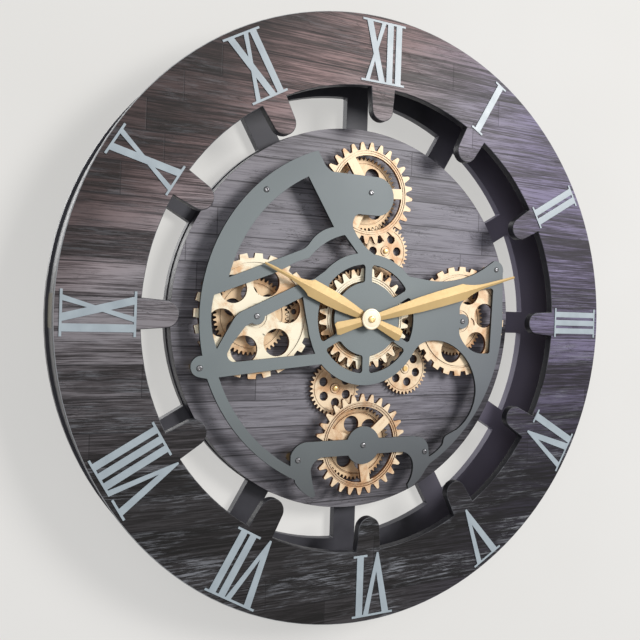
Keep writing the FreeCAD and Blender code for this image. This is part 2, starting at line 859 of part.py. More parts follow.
def make_rear_frame():
    thickness = size.rear_frame_thickness
    board = ring(face_radius, rear_hub_radius - size.rear_hub_width, thickness)
    window = spoke_window()
    cuts = []
    for hour in range(HOURS):
        copy = window.copy()
        copy.rotate(Vector(), Vector(0, 1, 0), 360 * hour / HOURS)
        cuts.append(copy)
    head_hole = size.frame_screw_head_radius + size.glue_clearance
    for x, z in frame_screw_places():
        cuts.append(disc(size.frame_screw_radius + size.glue_clearance, thickness, x, z))
        cuts.append(disc(head_hole, size.frame_screw_head_height, x, z))
    plate_width = size.hanger_width + 2 * size.glue_clearance
    plate_height = size.hanger_height + 2 * size.glue_clearance
    low_corner = Vector(-plate_width / 2, -size.hanger_thickness, hanger_centre_radius - plate_height / 2)
    cuts.append(Part.makeBox(plate_width, size.hanger_thickness, plate_height, low_corner))
    pocket_depth = size.keyhole_pocket_depth
    low = hanger_centre_radius - size.keyhole_slot_rise / 2
    cuts.append(disc(size.keyhole_radius + size.cut_overrun, pocket_depth, 0, low))
    slot_corner = Vector(-size.keyhole_radius, -pocket_depth, low)
    cuts.append(Part.makeBox(2 * size.keyhole_radius, pocket_depth, size.keyhole_slot_rise, slot_corner))
    cuts.append(disc(size.keyhole_radius, pocket_depth, 0, low + size.keyhole_slot_rise))
    for x, z in hanger_screw_places():
        cuts.append(disc(size.hanger_screw_radius + size.glue_clearance, size.hanger_screw_length, x, z))
    add_feature("rear_frame", board.cut(cuts))


def make_hanger():
    """Keyhole plate, let into the back of the rear frame."""
    thickness = size.hanger_thickness
    low = hanger_centre_radius - size.keyhole_slot_rise / 2
    corner = Vector(-size.hanger_width / 2, -thickness, hanger_centre_radius - size.hanger_height / 2)
    plate = Part.makeBox(size.hanger_width, thickness, size.hanger_height, corner)
    slot_corner = Vector(-size.keyhole_slot_radius, -thickness, low)
    cuts = [
        disc(size.keyhole_radius, thickness, 0, low),
        Part.makeBox(2 * size.keyhole_slot_radius, thickness, size.keyhole_slot_rise, slot_corner),
        disc(size.keyhole_slot_radius, thickness, 0, low + size.keyhole_slot_rise),
    ]
    head_hole = size.hanger_screw_head_radius + size.glue_clearance
    for x, z in hanger_screw_places():
        cuts.append(disc(size.hanger_screw_radius + size.glue_clearance, thickness, x, z))
        cuts.append(disc(head_hole, size.hanger_screw_head_height, x, z))
    add_feature("hanger_plate", plate.cut(cuts))
    screws = []
    for x, z in hanger_screw_places():
        shank = disc(size.hanger_screw_radius, size.hanger_screw_length, x, z)
        head = disc(size.hanger_screw_head_radius, size.hanger_screw_head_height, x, z)
        screws.append(fused([shank, head]))
    add_feature("hanger_screws", Part.makeCompound(screws))


# Dial drum: the wall between the rear frame and the dial board
def make_dial_drum():
    body = new_body("dial_drum")
    profile = back_sketch(body, "DrumProfile")
    draw_circle(profile, DIAL_RADIUS)
    draw_circle(profile, DIAL_RADIUS + " - Sizes.drum_wall")
    pad(body, profile, "Sizes.drum_length", "DrumWall")
    hole = back_sketch(body, "DrumScrewHole")
    draw_circle(
        hole,
        "Sizes.frame_screw_radius + Sizes.glue_clearance",
        DIAL_RADIUS + " - Sizes.drum_wall / 2",
    )
    bored = pocket(body, hole, "Sizes.frame_screw_bite + Sizes.glue_clearance", "DrumScrewPocket")
    holes = body.newObject("PartDesign::PolarPattern", "DrumScrewPockets")
    holes.Originals = [bored]
    holes.Axis = (profile, ["N_Axis"])
    holes.Angle = 360
    holes.Occurrences = FRAME_SCREWS
    body.Tip = holes
    place(body, y=RIM_BACK)


def make_frame_screws():
    length = size.rear_frame_thickness + size.frame_screw_bite
    screws = []
    for x, z in frame_screw_places():
        shank = disc(size.frame_screw_radius, length, x, z)
        head = disc(size.frame_screw_head_radius, size.frame_screw_head_height, x, z)
        screws.append(fused([shank, head]))
    add_feature("frame_screws", Part.makeCompound(screws))


def make_dial_disc():
    thickness = size.dial_thickness
    cuts = [
        disc(size.stem_radius + size.glue_clearance, thickness),
        disc(size.motor_shaft_radius + size.end_play, thickness, *drive_axis),
    ]
    for place_of_axle in axle_places:
        cuts.append(disc(size.axle_radius + size.glue_clearance, thickness, *place_of_axle))
    for place_of_pin in pin_places:
        cuts.append(disc(size.pin_radius + size.glue_clearance, thickness, *place_of_pin))
    for x, z in motor_screw_places():
        cuts.append(disc(size.plate_screw_radius + size.glue_clearance, size.motor_screw_bite, x, z))
    add_feature("dial_disc", disc(dial_radius, thickness).cut(cuts), y=dial_back)


# Gear plate and what holds it
def plate_screw_places():
    return plate_post_places + axle_places


def hub_window():
    """One of the six windows of the hub ring, on the right of the axis."""
    inner = size.hub_window_inner_radius
    outer = size.hub_window_outer_radius
    half_bar = size.hub_bar_width / 2
    half_spacing = 180 / WEB_HOLES
    inner_reach = half_spacing - math.degrees(math.asin(half_bar / inner))
    outer_reach = half_spacing - math.degrees(math.asin(half_bar / outer))
    inner_low = flat(*turned(inner, -inner_reach))
    inner_high = flat(*turned(inner, inner_reach))
    outer_low = flat(*turned(outer, -outer_reach))
    outer_high = flat(*turned(outer, outer_reach))
    edges = (
        Part.LineSegment(inner_low, outer_low),
        Part.Arc(outer_low, flat(outer, 0), outer_high),
        Part.LineSegment(outer_high, inner_high),
        Part.Arc(inner_high, flat(inner, 0), inner_low),
    )
    thickness = size.plate_thickness
    window = Part.Face(Part.Wire([edge.toShape() for edge in edges])).extrude(FRONT * thickness)
    corners = [edge for edge in window.Edges if abs(edge.Length - thickness) < size.glue_clearance]
    return window.makeFillet(size.hub_window_fillet, corners)


def make_gear_plate():
    thickness = size.plate_thickness
    board = steps_board(PLATE_START_SHARE, PLATE_STEPS_SHARES, plate_radius, thickness)
    windows = [steps_board(start, steps, plate_radius, thickness) for start, steps in PLATE_WINDOWS]
    bosses = [
        disc(size.hub_ring_outer_radius, thickness),
        disc(size.side_boss_radius, thickness, *top_axis),
        disc(size.bottom_boss_radius, thickness, *bottom_axis),
        disc(size.side_boss_radius, thickness, *left_axis),
        disc(size.side_boss_radius, thickness, *right_axis),
        disc(size.ear_radius, thickness, *plate_post_places[3]),
        disc(size.ear_radius, thickness, *plate_post_places[4]),
    ]
    plate = fused([board.cut(windows)] + bosses)
    cuts = [disc(size.stem_radius + size.glue_clearance, thickness)]
    window = hub_window()
    for index in range(WEB_HOLES):
        copy = window.copy()
        copy.rotate(Vector(), Vector(0, 1, 0), 360 * index / WEB_HOLES)
        cuts.append(copy)
    for x, z in plate_screw_places():
        cuts.append(disc(size.plate_screw_radius + size.glue_clearance, thickness, x, z))
    add_feature("gear_plate", plate.cut(cuts), y=plate_back)


def tapped_post(radius, back, x, z):
    """Post that ends under the plate, with a hole for the plate's screw."""
    post = disc(radius, back - plate_back, x, z, back)
    bite = size.plate_screw_bite + size.glue_clearance
    hole = disc(size.plate_screw_radius + size.glue_clearance, bite, x, z, plate_back + bite)
    return post.cut(hole)


def make_plate_posts():
    posts = [tapped_post(size.plate_post_radius, dial_front, x, z) for x, z in plate_post_places]
    add_feature("plate_posts", Part.makeCompound(posts))


def make_gear_axles():
    axles = [tapped_post(size.axle_radius, dial_back, x, z) for x, z in axle_places]
    add_feature("gear_axles", Part.makeCompound(axles))


def make_plate_screws():
    length = size.plate_thickness + size.plate_screw_bite
    screws = []
    for x, z in plate_screw_places():
        shank = disc(size.plate_screw_radius, length, x, z, plate_front + length)
        head = disc(size.plate_screw_head_radius, size.plate_screw_head_height, x, z, plate_front)
        screws.append(fused([shank, head]))
    add_feature("plate_screws", Part.makeCompound(screws))


# Gear teeth
def along_tooth(degrees, along, aside):
    """Point at a distance along a tooth's centre line and at one side of it."""
    angle = math.radians(degrees)
    x = along * math.cos(angle) - aside * math.sin(angle)
    z = along * math.sin(angle) + aside * math.cos(angle)
    return flat(x, z)


def involute(angle):
    return math.tan(angle) - angle


def tooth_half_angle(teeth, radius):
    """Half the angle that an involute tooth fills at a radius, with its backlash taken off."""
    pressure = math.radians(size.pressure_angle)
    base = pitch_radius(teeth) * math.cos(pressure)
    tooth = math.pi * size.gear_module / 2 - size.tooth_backlash
    at_pitch = tooth / (2 * pitch_radius(teeth))
    here = math.acos(min(base / radius, 1))
    return math.degrees(at_pitch + involute(pressure) - involute(here))


def fine_gear_blank(teeth):
    tip = pitch_radius(teeth) + ADDENDUM_SHARE * size.gear_module
    root = pitch_radius(teeth) - DEDENDUM_SHARE * size.gear_module
    rising = [(radius, -tooth_half_angle(teeth, radius)) for radius in (root, pitch_radius(teeth), tip)]
    falling = [(radius, -offset) for radius, offset in reversed(rising)]
    points = []
    for tooth in range(teeth):
        for radius, offset in rising + falling:
            points.append(turned(radius, 360 * tooth / teeth + offset))
    return prism(points, size.fine_gear_thickness)


def web_holes(radius, circle, thickness, first_angle=0.0):
    places = [turned(circle, first_angle + 360 * index / WEB_HOLES) for index in range(WEB_HOLES)]
    return [disc(radius, thickness, x, z) for x, z in places]


def fine_gear(teeth, bore, hole_radius, hole_circle, hole_angle):
    thickness = size.fine_gear_thickness
    cuts = web_holes(hole_radius, hole_circle, thickness, hole_angle)
    return fine_gear_blank(teeth).cut(cuts + [disc(bore, thickness)])


def small_gear(bore, hole_angle):
    """Fine gear with a low boss on its front."""
    boss_back = -size.fine_gear_thickness
    boss = ring(size.small_gear_boss_radius, bore, size.small_gear_boss_height, back=boss_back)
    hole_radius = size.small_gear_hole_radius
    gear = fine_gear(SMALL_TEETH, bore, hole_radius, size.small_gear_hole_circle, hole_angle)
    return fused([gear, boss])


def middle_fine_gear(bore, hole_angle):
    return fine_gear(FINE_TEETH, bore, size.fine_gear_hole_radius, size.fine_gear_hole_circle, hole_angle)


def pinion(bore):
    return fine_gear(PINION_TEETH, bore, size.pinion_hole_radius, size.pinion_hole_circle, 0)


def meshed_angle(first_place, first_teeth, first_angle, second_place, second_teeth):
    """Angle of a second gear whose teeth fall in the gaps of the first one."""
    direction = math.degrees(math.atan2(second_place[1] - first_place[1], second_place[0] - first_place[0]))
    into_tooth = (direction - first_angle) * first_teeth / 360
    return direction + 180 - (0.5 - into_tooth) * 360 / second_teeth


def add_gear(label, shape, place_of_gear, back, angle=0.0):
    x, z = place_of_gear
    add_feature(label, shape, x, back, z, Rotation(FRONT, angle))


def make_fine_gears():
    """The train: the centre gear turns small gears, and each of those turns a gear further out."""
    bore = size.bush_sleeve_radius + size.glue_clearance
    centre_bore = size.centre_bush_sleeve_radius + size.glue_clearance
    pin_bore = size.pin_radius + size.running_clearance
    centre = (0.0, 0.0)
    start = size.centre_gear_angle
    hole_radius = size.centre_gear_hole_radius
    shape = fine_gear(CENTRE_TEETH, centre_bore, hole_radius, size.centre_gear_hole_circle, 0)
    add_gear("centre_fine_gear", shape, centre, fine_gear_back, start)
    train = (
        ("upper_small_gear", SMALL_TEETH, upper_small_axis, size.upper_small_hole_angle,
         "top_fine_gear", top_axis, size.top_fine_hole_angle),
        ("lower_small_gear", SMALL_TEETH, lower_small_axis, size.lower_small_hole_angle,
         "bottom_fine_gear", bottom_axis, size.bottom_fine_hole_angle),
        ("left_pinion", PINION_TEETH, left_pinion_axis, 0,
         "left_fine_gear", left_axis, size.left_fine_hole_angle),
        ("right_pinion", PINION_TEETH, right_pinion_axis, 0,
         "right_fine_gear", right_axis, size.right_fine_hole_angle),
    )
    for label, teeth, axis, hole_angle, outer_label, outer_axis, outer_hole_angle in train:
        angle = meshed_angle(centre, CENTRE_TEETH, start, axis, teeth)
        outer_angle = meshed_angle(axis, teeth, angle, outer_axis, FINE_TEETH)
        inner = small_gear(pin_bore, hole_angle - angle) if teeth == SMALL_TEETH else pinion(pin_bore)
        add_gear(label, inner, axis, fine_gear_back, angle)
        outer = middle_fine_gear(bore, outer_hole_angle - outer_angle)
        add_gear(outer_label, outer, outer_axis, fine_gear_back, outer_angle)
    drive_angle = meshed_angle(centre, CENTRE_TEETH, start, drive_axis, SMALL_TEETH)
    drive = small_gear(size.motor_shaft_radius + size.glue_clearance, size.drive_hole_angle - drive_angle)
    add_gear("drive_gear", drive, drive_axis, fine_gear_back, drive_angle)


# Show gears
def round_tooth_blank():
    """Gear outline with tapered, round-ended teeth."""
    half_root = size.round_tooth_root_width / 2
    half_tip = size.round_tooth_tip_width / 2
    root = size.round_tooth_root_radius
    shoulder = size.round_tooth_tip_radius - half_tip
    edges = []
    for tooth in range(ROUND_TEETH):
        angle = 360 * tooth / ROUND_TEETH
        next_angle = 360 * (tooth + 1) / ROUND_TEETH
        low_root = along_tooth(angle, root, -half_root)
        low_shoulder = along_tooth(angle, shoulder, -half_tip)
        tip = along_tooth(angle, size.round_tooth_tip_radius, 0)
        high_shoulder = along_tooth(angle, shoulder, half_tip)
        high_root = along_tooth(angle, root, half_root)
        next_root = along_tooth(next_angle, root, -half_root)
        edges.append(Part.LineSegment(low_root, low_shoulder).toShape())
        edges.append(Part.Arc(low_shoulder, tip, high_shoulder).toShape())
        edges.append(Part.LineSegment(high_shoulder, high_root).toShape())
        edges.append(Part.LineSegment(high_root, next_root).toShape())
    return Part.Face(Part.Wire(edges)).extrude(FRONT * size.show_gear_thickness)


def round_tooth_gear(bore, spoke_angle):
    thickness = size.show_gear_thickness
    rim = round_tooth_blank().cut(disc(size.round_gear_rim_inner_radius, thickness))
    hub = disc(size.round_gear_hub_radius, thickness)
    half = size.round_gear_spoke_width / 2
    reach = size.round_gear_rim_inner_radius + size.cut_overrun
    pieces = [rim, hub]
    for angle in (spoke_angle, spoke_angle + 120, spoke_angle + 240):
        spoke = prism(((0, -half), (reach, -half), (reach, half), (0, half)), thickness)
        spoke.rotate(Vector(), FRONT, angle)
        pieces.append(spoke)
    return fused(pieces).cut(disc(bore, thickness))


def square_tooth_gear(bore, hole_angle):
    thickness = size.show_gear_thickness
    half_root = size.square_tooth_root_width / 2
    half_tip = size.square_tooth_tip_width / 2
    corners = []
    for tooth in range(SQUARE_TEETH):
        angle = 360 * tooth / SQUARE_TEETH
        corners.append(along_tooth(angle, size.square_tooth_root_radius, -half_root))
        corners.append(along_tooth(angle, size.square_tooth_tip_radius, -half_tip))
        corners.append(along_tooth(angle, size.square_tooth_tip_radius, half_tip))
        corners.append(along_tooth(angle, size.square_tooth_root_radius, half_root))
    blank = prism([(corner.x, corner.z) for corner in corners], thickness)
    cuts = web_holes(size.square_gear_hole_radius, size.square_gear_hole_circle, thickness, hole_angle)
    return blank.cut(cuts + [disc(bore, thickness)])


def make_show_gears():
    bore = size.bush_sleeve_radius + size.glue_clearance
    centre_bore = size.centre_bush_sleeve_radius + size.glue_clearance
    round_gears = (
        ("top_show_gear", top_axis, bore, size.top_tooth_angle, size.top_spoke_angle),
        ("bottom_show_gear", bottom_axis, bore, size.bottom_tooth_angle, size.bottom_spoke_angle),
        ("centre_show_gear", (0.0, 0.0), centre_bore, size.centre_tooth_angle, size.centre_spoke_angle),
    )
    for label, axis, gear_bore, tooth_angle, spoke_angle in round_gears:
        shape = round_tooth_gear(gear_bore, spoke_angle - tooth_angle)
        add_gear(label, shape, axis, show_gear_back, tooth_angle)
    square_gears = (
        ("left_show_gear", left_axis, size.left_tooth_angle),
        ("right_show_gear", right_axis, size.right_tooth_angle),
    )
    for label, axis, tooth_angle in square_gears:
        shape = square_tooth_gear(bore, size.square_gear_hole_angle - tooth_angle)
        add_gear(label, shape, axis, show_gear_back, tooth_angle)


# Bushes: each holds one fine gear and one show gear
BUSH_LENGTH = (
    "Sizes.dial_front_depth - Sizes.plate_front_depth - Sizes.plate_thickness - 2 * Sizes.end_play"
)
DIAL_BACK = "-(Sizes.drum_length + Sizes.rear_frame_thickness)"
BUSH_BACK = DIAL_BACK + " - Sizes.dial_thickness - Sizes.end_play"
FLANGE_START = "Sizes.dial_front_depth - Sizes.end_play - Sizes.fine_gear_front_depth"
FLANGE_LENGTH = "Sizes.fine_gear_front_depth - Sizes.show_gear_front_depth - Sizes.show_gear_thickness"
COLLAR_START = "Sizes.dial_front_depth - Sizes.end_play - Sizes.show_gear_front_depth"
COLLAR_LENGTH = (
    "Sizes.show_gear_front_depth - Sizes.plate_front_depth - Sizes.plate_thickness - Sizes.end_play"
)
SMALL_REACH = "Sizes.gear_module * %g" % ((CENTRE_TEETH + SMALL_TEETH) / 2)
OUTER_REACH = "Sizes.gear_module * %g" % ((SMALL_TEETH + FINE_TEETH) / 2)
TOP_AXIS = (
    "({0} * cos(Sizes.small_gear_angle * 1 deg)"
    " + sqrt(({1}) ^ 2 - ({0} * sin(Sizes.small_gear_angle * 1 deg)) ^ 2))"
).format(SMALL_REACH, OUTER_REACH)


def add_bush(label, bore, sleeve, flange, collar, x=None, z=None):
    tube = bound_disc(label + "_sleeve", sleeve, BUSH_LENGTH)
    middle = bound_disc(label + "_flange", flange, FLANGE_LENGTH, y="-(%s)" % FLANGE_START)
    front = bound_disc(label + "_collar", collar, COLLAR_LENGTH, y="-(%s)" % COLLAR_START)
    hole = bound_disc(label + "_bore", bore, BUSH_LENGTH)
    spool = bound_cut(label, bound_fuse(label + "_blank", [tube, middle, front]), hole)
    add_bound(spool, label, x, BUSH_BACK, z)


def make_bushes():
    axle_bore = "Sizes.axle_radius + Sizes.running_clearance"
    stem_bore = "Sizes.stem_radius + Sizes.running_clearance"
    sleeve = "Sizes.bush_sleeve_radius"
    flange = "Sizes.bush_flange_radius"
    collar = "Sizes.bush_collar_radius"
    add_bush("top_gear_bush", axle_bore, sleeve, flange, collar, z=TOP_AXIS)
    add_bush("bottom_gear_bush", axle_bore, sleeve, flange, collar, z="-" + TOP_AXIS)
    add_bush("left_gear_bush", axle_bore, sleeve, flange, collar, x="-" + SIDE_AXIS)
    add_bush("right_gear_bush", axle_bore, sleeve, flange, collar, x=SIDE_AXIS)
    centre_flange = "Sizes.centre_bush_flange_radius"
    add_bush("centre_gear_bush", stem_bore, "Sizes.centre_bush_sleeve_radius", centre_flange, centre_flange)


def make_small_gear_pins():
    """Shouldered pins in the dial board, with a washer behind each small gear."""
    length = dial_back - fine_gear_front + size.small_gear_boss_height + size.end_play
    washer_length = dial_front - fine_gear_back - size.end_play
    pins = []
    washers = []
    for x, z in pin_places:
        shank = disc(size.pin_radius, length, x, z, dial_back)
        head = disc(size.pin_head_radius, size.pin_head_height, x, z, dial_back - length)
        pins.append(fused([shank, head]))
        washers.append(
            ring(size.washer_radius, size.pin_radius + size.glue_clearance, washer_length, x, z, dial_front)
        )
    add_feature("small_gear_pins", Part.makeCompound(pins))
    add_feature("small_gear_washers", Part.makeCompound(washers))


# Clock movement
MOVEMENT_BACK = DIAL_BACK + " + Sizes.movement_depth"


def make_movement_case():
    body = new_body("movement_case")
    profile = back_sketch(body, "MovementProfile")
    half = "Sizes.movement_width / 2"
    draw_rectangle(profile, "-" + half, half, "-" + half, half)
    block = pad(body, profile, "Sizes.movement_depth", "MovementBlock")
    doc.recompute()
    corners = [
        "Edge%d" % (index + 1)
        for index, edge in enumerate(block.Shape.Edges)
        if abs(edge.tangentAt(edge.FirstParameter).y) > 0.5
    ]
    rounded = body.newObject("PartDesign::Fillet", "MovementCorners")
    rounded.Base = (block, corners)
    rounded.setExpression("Radius", "Sizes.movement_corner")
    body.Tip = rounded
    bay = back_sketch(body, "CellBay")
    half_length = "(Sizes.cell_length / 2 + Sizes.cell_clearance)"
    half_height = "(Sizes.cell_radius + Sizes.cell_clearance)"
    draw_rectangle(
        bay,
        "-" + half_length,
        half_length,
        "-Sizes.cell_offset - " + half_height,
        "-Sizes.cell_offset + " + half_height,
    )
    pocket(body, bay, "2 * Sizes.cell_radius + Sizes.cell_clearance", "CellBayPocket")
    hole = back_sketch(body, "KnobBore")
    draw_circle(hole, "Sizes.knob_stub_radius + Sizes.running_clearance", None, "Sizes.knob_offset")
    pocket(body, hole, "Sizes.knob_stub_length", "KnobBorePocket")
    place(body, y=MOVEMENT_BACK)


def make_movement_parts():
    back = dial_back
    stem_length = back - at_depth(size.stem_front_depth)
    stem = ring(size.stem_radius, size.stem_bore_radius, stem_length, back=back)
    add_feature("threaded_stem", stem)
    pipe_back = back - size.end_play
    pipe_length = pipe_back - at_depth(size.hour_hand_front_depth)
    pipe = ring(size.hour_pipe_radius, size.hour_pipe_bore_radius, pipe_length, back=pipe_back)
    add_feature("hour_pipe", pipe)
    arbor_length = pipe_back - at_depth(size.minute_hand_front_depth) + size.hand_cap_thickness
    add_feature("minute_arbor", disc(size.minute_arbor_radius, arbor_length, back=pipe_back))
    bolt = Part.makePolygon([flat(*turned(size.nut_radius, 60 * index)) for index in range(7)])
    nut = Part.Face(bolt).extrude(FRONT * size.nut_thickness)
    nut = nut.cut(disc(size.stem_radius + size.glue_clearance, size.nut_thickness))
    add_feature("movement_nut", nut, y=plate_front)
    cell_start = Vector(-size.cell_length / 2, 0, 0)
    cell = Part.makeCylinder(size.cell_radius, size.cell_length, cell_start, Vector(1, 0, 0))
    movement_back = back + size.movement_depth
    add_feature("movement_cell", cell, y=movement_back - size.cell_radius, z=-size.cell_offset)
    knob = disc(size.knob_radius, size.knob_thickness)
    stub_length = size.knob_stub_length + size.knob_thickness - size.end_play
    stub = disc(size.knob_stub_radius, stub_length)
    add_feature(
        "setting_knob",
        fused([knob, stub]),
        y=movement_back + size.knob_thickness + size.end_play,
        z=size.knob_offset,
    )


# Hands
def hand_board(shares, length, width):
    right = [(share_across * width, share_along * length) for share_along, share_across in shares]
    left = [(-x, z) for x, z in reversed(right)]
    return prism(right + left, size.hand_thickness)


def make_hands():
    thickness = size.hand_thickness
    hour = hand_board(HOUR_HAND_SHARES, size.hour_hand_length, size.hour_hand_width)
    hour = fused([hour, disc(size.hand_hub_radius, thickness)])
    hour = hour.cut(disc(size.hour_pipe_radius + size.glue_clearance, thickness))
    hour_back = at_depth(size.hour_hand_front_depth) + thickness
    add_feature("hour_hand", hour, y=hour_back, rotation=Rotation(Vector(0, 1, 0), size.hour_hand_angle))
    minute = hand_board(MINUTE_HAND_SHARES, size.minute_hand_length, size.minute_hand_width)
    minute = fused([minute, disc(size.hand_hub_radius, thickness)])
    minute = minute.cut(disc(size.minute_arbor_radius + size.glue_clearance, thickness))
    minute_front = at_depth(size.minute_hand_front_depth)
    turn = Rotation(Vector(0, 1, 0), size.minute_hand_angle)
    add_feature("minute_hand", minute, y=minute_front + thickness, rotation=turn)
    bore = size.minute_arbor_radius + size.glue_clearance
    cap = ring(size.hand_cap_radius, bore, size.hand_cap_thickness)
    add_feature("hand_cap", cap, y=minute_front)
    nut = disc(size.cap_nut_radius, size.cap_nut_thickness)
    add_feature("cap_nut", nut, y=minute_front - size.hand_cap_thickness)


# Gear drive
def motor_screw_places():
    half = size.motor_screw_spacing / 2
    return [(drive_axis[0] - half, drive_axis[1]), (drive_axis[0] + half, drive_axis[1])]


def make_gear_motor():
    back = dial_back + size.motor_depth
    corner = Vector(-size.motor_width / 2, -size.motor_depth, -size.motor_height / 2)
    housing = Part.makeBox(size.motor_width, size.motor_depth, size.motor_height, corner)
    upright = [edge for edge in housing.Edges if abs(edge.tangentAt(edge.FirstParameter).y) > 0.5]
    housing = housing.makeFillet(size.movement_corner, upright)
    half = size.motor_screw_spacing / 2
    bearing = disc(
        size.motor_shaft_radius + size.running_clearance, size.motor_bearing_depth,
        back=size.motor_bearing_depth - size.motor_depth,
    )
    screw_holes = [
        disc(size.plate_screw_radius + size.glue_clearance, size.motor_depth, x) for x in (-half, half)
    ]
    housing = housing.cut([bearing] + screw_holes)
    add_feature("gear_motor", housing, drive_axis[0], back, drive_axis[1])
    screws = []
    length = size.motor_depth + size.motor_screw_bite
    for x, z in motor_screw_places():
        shank = disc(size.plate_screw_radius, length, x, z, back)
        head = disc(size.plate_screw_head_radius, size.plate_screw_head_height, x, z)
        head.translate(Vector(0, back + size.plate_screw_head_height, 0))
        screws.append(fused([shank, head]))
    add_feature("motor_screws", Part.makeCompound(screws))
    shaft_back = dial_back + size.motor_bearing_depth - size.end_play
    shaft_front = fine_gear_front - size.small_gear_boss_height
    shaft = disc(size.motor_shaft_radius, shaft_back - shaft_front, back=shaft_back)
    head = disc(size.pin_head_radius, size.pin_head_height, back=shaft_front)
    add_feature("motor_shaft", fused([shaft, head]), drive_axis[0], 0, drive_axis[1])


BOX_BACK = DIAL_BACK + " + Sizes.battery_box_depth"


def make_battery_box():
    """Open tray behind the dial board, with a lid that slides off sideways."""
    body = new_body("battery_box")
    profile = back_sketch(body, "BoxProfile")
    half_width = "Sizes.battery_box_width / 2"
    half_height = "Sizes.battery_box_height / 2"
    draw_rectangle(profile, "-" + half_width, half_width, "-" + half_height, half_height)
    pad(body, profile, "Sizes.battery_box_depth", "BoxBlock")
    hollow = back_sketch(body, "BoxHollow")
    inner_width = "(Sizes.battery_box_width / 2 - Sizes.battery_box_wall)"
    inner_height = "(Sizes.battery_box_height / 2 - Sizes.battery_box_wall)"
    draw_rectangle(hollow, "-" + inner_width, inner_width, "-" + inner_height, inner_height)
    pocket(body, hollow, "Sizes.battery_box_depth - Sizes.battery_box_wall", "BoxHollowPocket")
    place(body, "Sizes.battery_box_offset_x", BOX_BACK, "Sizes.battery_box_offset_z")


def make_battery_parts():
    box_back = dial_back + size.battery_box_depth
    x = size.battery_box_offset_x
    z = size.battery_box_offset_z
    thickness = size.battery_cover_thickness
    half_width = size.battery_box_width / 2
    half_height = size.battery_box_height / 2
    cover = Part.makeBox(2 * half_width, thickness, 2 * half_height, Vector(-half_width, 0, -half_height))
    lip = size.battery_cover_lip
    play = size.battery_box_wall + size.end_play
    lip_length = 2 * (half_width - play)
    lips = [
        Part.makeBox(lip_length, lip, lip, Vector(play - half_width, -lip, play - half_height)),
        Part.makeBox(lip_length, lip, lip, Vector(play - half_width, -lip, half_height - play - lip)),
    ]
    add_feature("battery_cover", fused([cover] + lips), x, box_back, z)
    inside = size.battery_box_depth - size.battery_box_wall
    cell_back = box_back - inside + size.cell_clearance + size.drive_cell_radius
    offset = (half_height - size.battery_box_wall) / 2
    cells = []
    for side in (-1, 1):
        start = Vector(x - size.drive_cell_length / 2, cell_back, z + side * offset)
        cell = Part.makeCylinder(size.drive_cell_radius, size.drive_cell_length, start, Vector(1, 0, 0))
        cells.append(cell)
    add_feature("drive_cells", Part.makeCompound(cells))


SWITCH_BACK = DIAL_BACK + " + Sizes.switch_depth"


def make_switch():
    """Slide switch behind the dial board, with its lever in a slot."""
    block = bound_box(
        "switch_block", "Sizes.switch_width", "Sizes.switch_depth", "Sizes.switch_height",
        "-Sizes.switch_width / 2", "-Sizes.switch_depth", "-Sizes.switch_height / 2",
    )
    slot_length = "(Sizes.switch_lever_width + Sizes.switch_travel + 2 * Sizes.end_play)"
    slot_height = "(Sizes.switch_lever_height + 2 * Sizes.end_play)"
    slot = bound_box(
        "switch_slot", slot_length, "Sizes.switch_lever_reach", slot_height,
        "-%s / 2" % slot_length, "-Sizes.switch_lever_reach", "-%s / 2" % slot_height,
    )
    add_bound(
        bound_cut("switch_body", block, slot), "switch_body",
        "Sizes.switch_offset_x", SWITCH_BACK, "Sizes.switch_offset_z",
    )
    lever = bound_box(
        "switch_lever", "Sizes.switch_lever_width", "2 * Sizes.switch_lever_reach - Sizes.end_play",
        "Sizes.switch_lever_height",
    )
    lever_left = "Sizes.switch_offset_x - Sizes.switch_lever_width / 2 - Sizes.switch_travel / 2"
    lever_front = SWITCH_BACK + " - Sizes.switch_lever_reach + Sizes.end_play"
    lever_bottom = "Sizes.switch_offset_z - Sizes.switch_lever_height / 2"
    add_bound(lever, "switch_lever", lever_left, lever_front, lever_bottom)


# The clock, from the face to the wall
make_front_ring()
make_numerals()
make_rim()
make_rear_frame()
make_hanger()
make_dial_drum()
make_frame_screws()
make_dial_disc()
make_gear_plate()
make_plate_posts()
make_gear_axles()
make_plate_screws()
make_fine_gears()
make_show_gears()
make_bushes()
make_small_gear_pins()
make_movement_case()
make_movement_parts()
make_hands()
make_gear_motor()
make_battery_box()
make_battery_parts()
make_switch()
doc.recompute()

for item in doc.Objects:
    if "Invalid" in item.State or "Error" in item.State:
        raise ValueError("%s is in error" % item.Label)
for item in sub_parts:
    if item.Shape.isNull() or not item.Shape.isValid():
        raise ValueError("%s has no valid shape" % item.Label)

os.makedirs("parts", exist_ok=True)
for item in sub_parts:
    item.Shape.exportStep("parts/%s.step" % item.Label)
    volume = item.Shape.Volume
    print("%-22s %2d solids %12.1f mm3" % (item.Label, len(item.Shape.Solids), volume))
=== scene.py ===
import json
import math

import bmesh
import bpy
from mathutils import Matrix, Vector


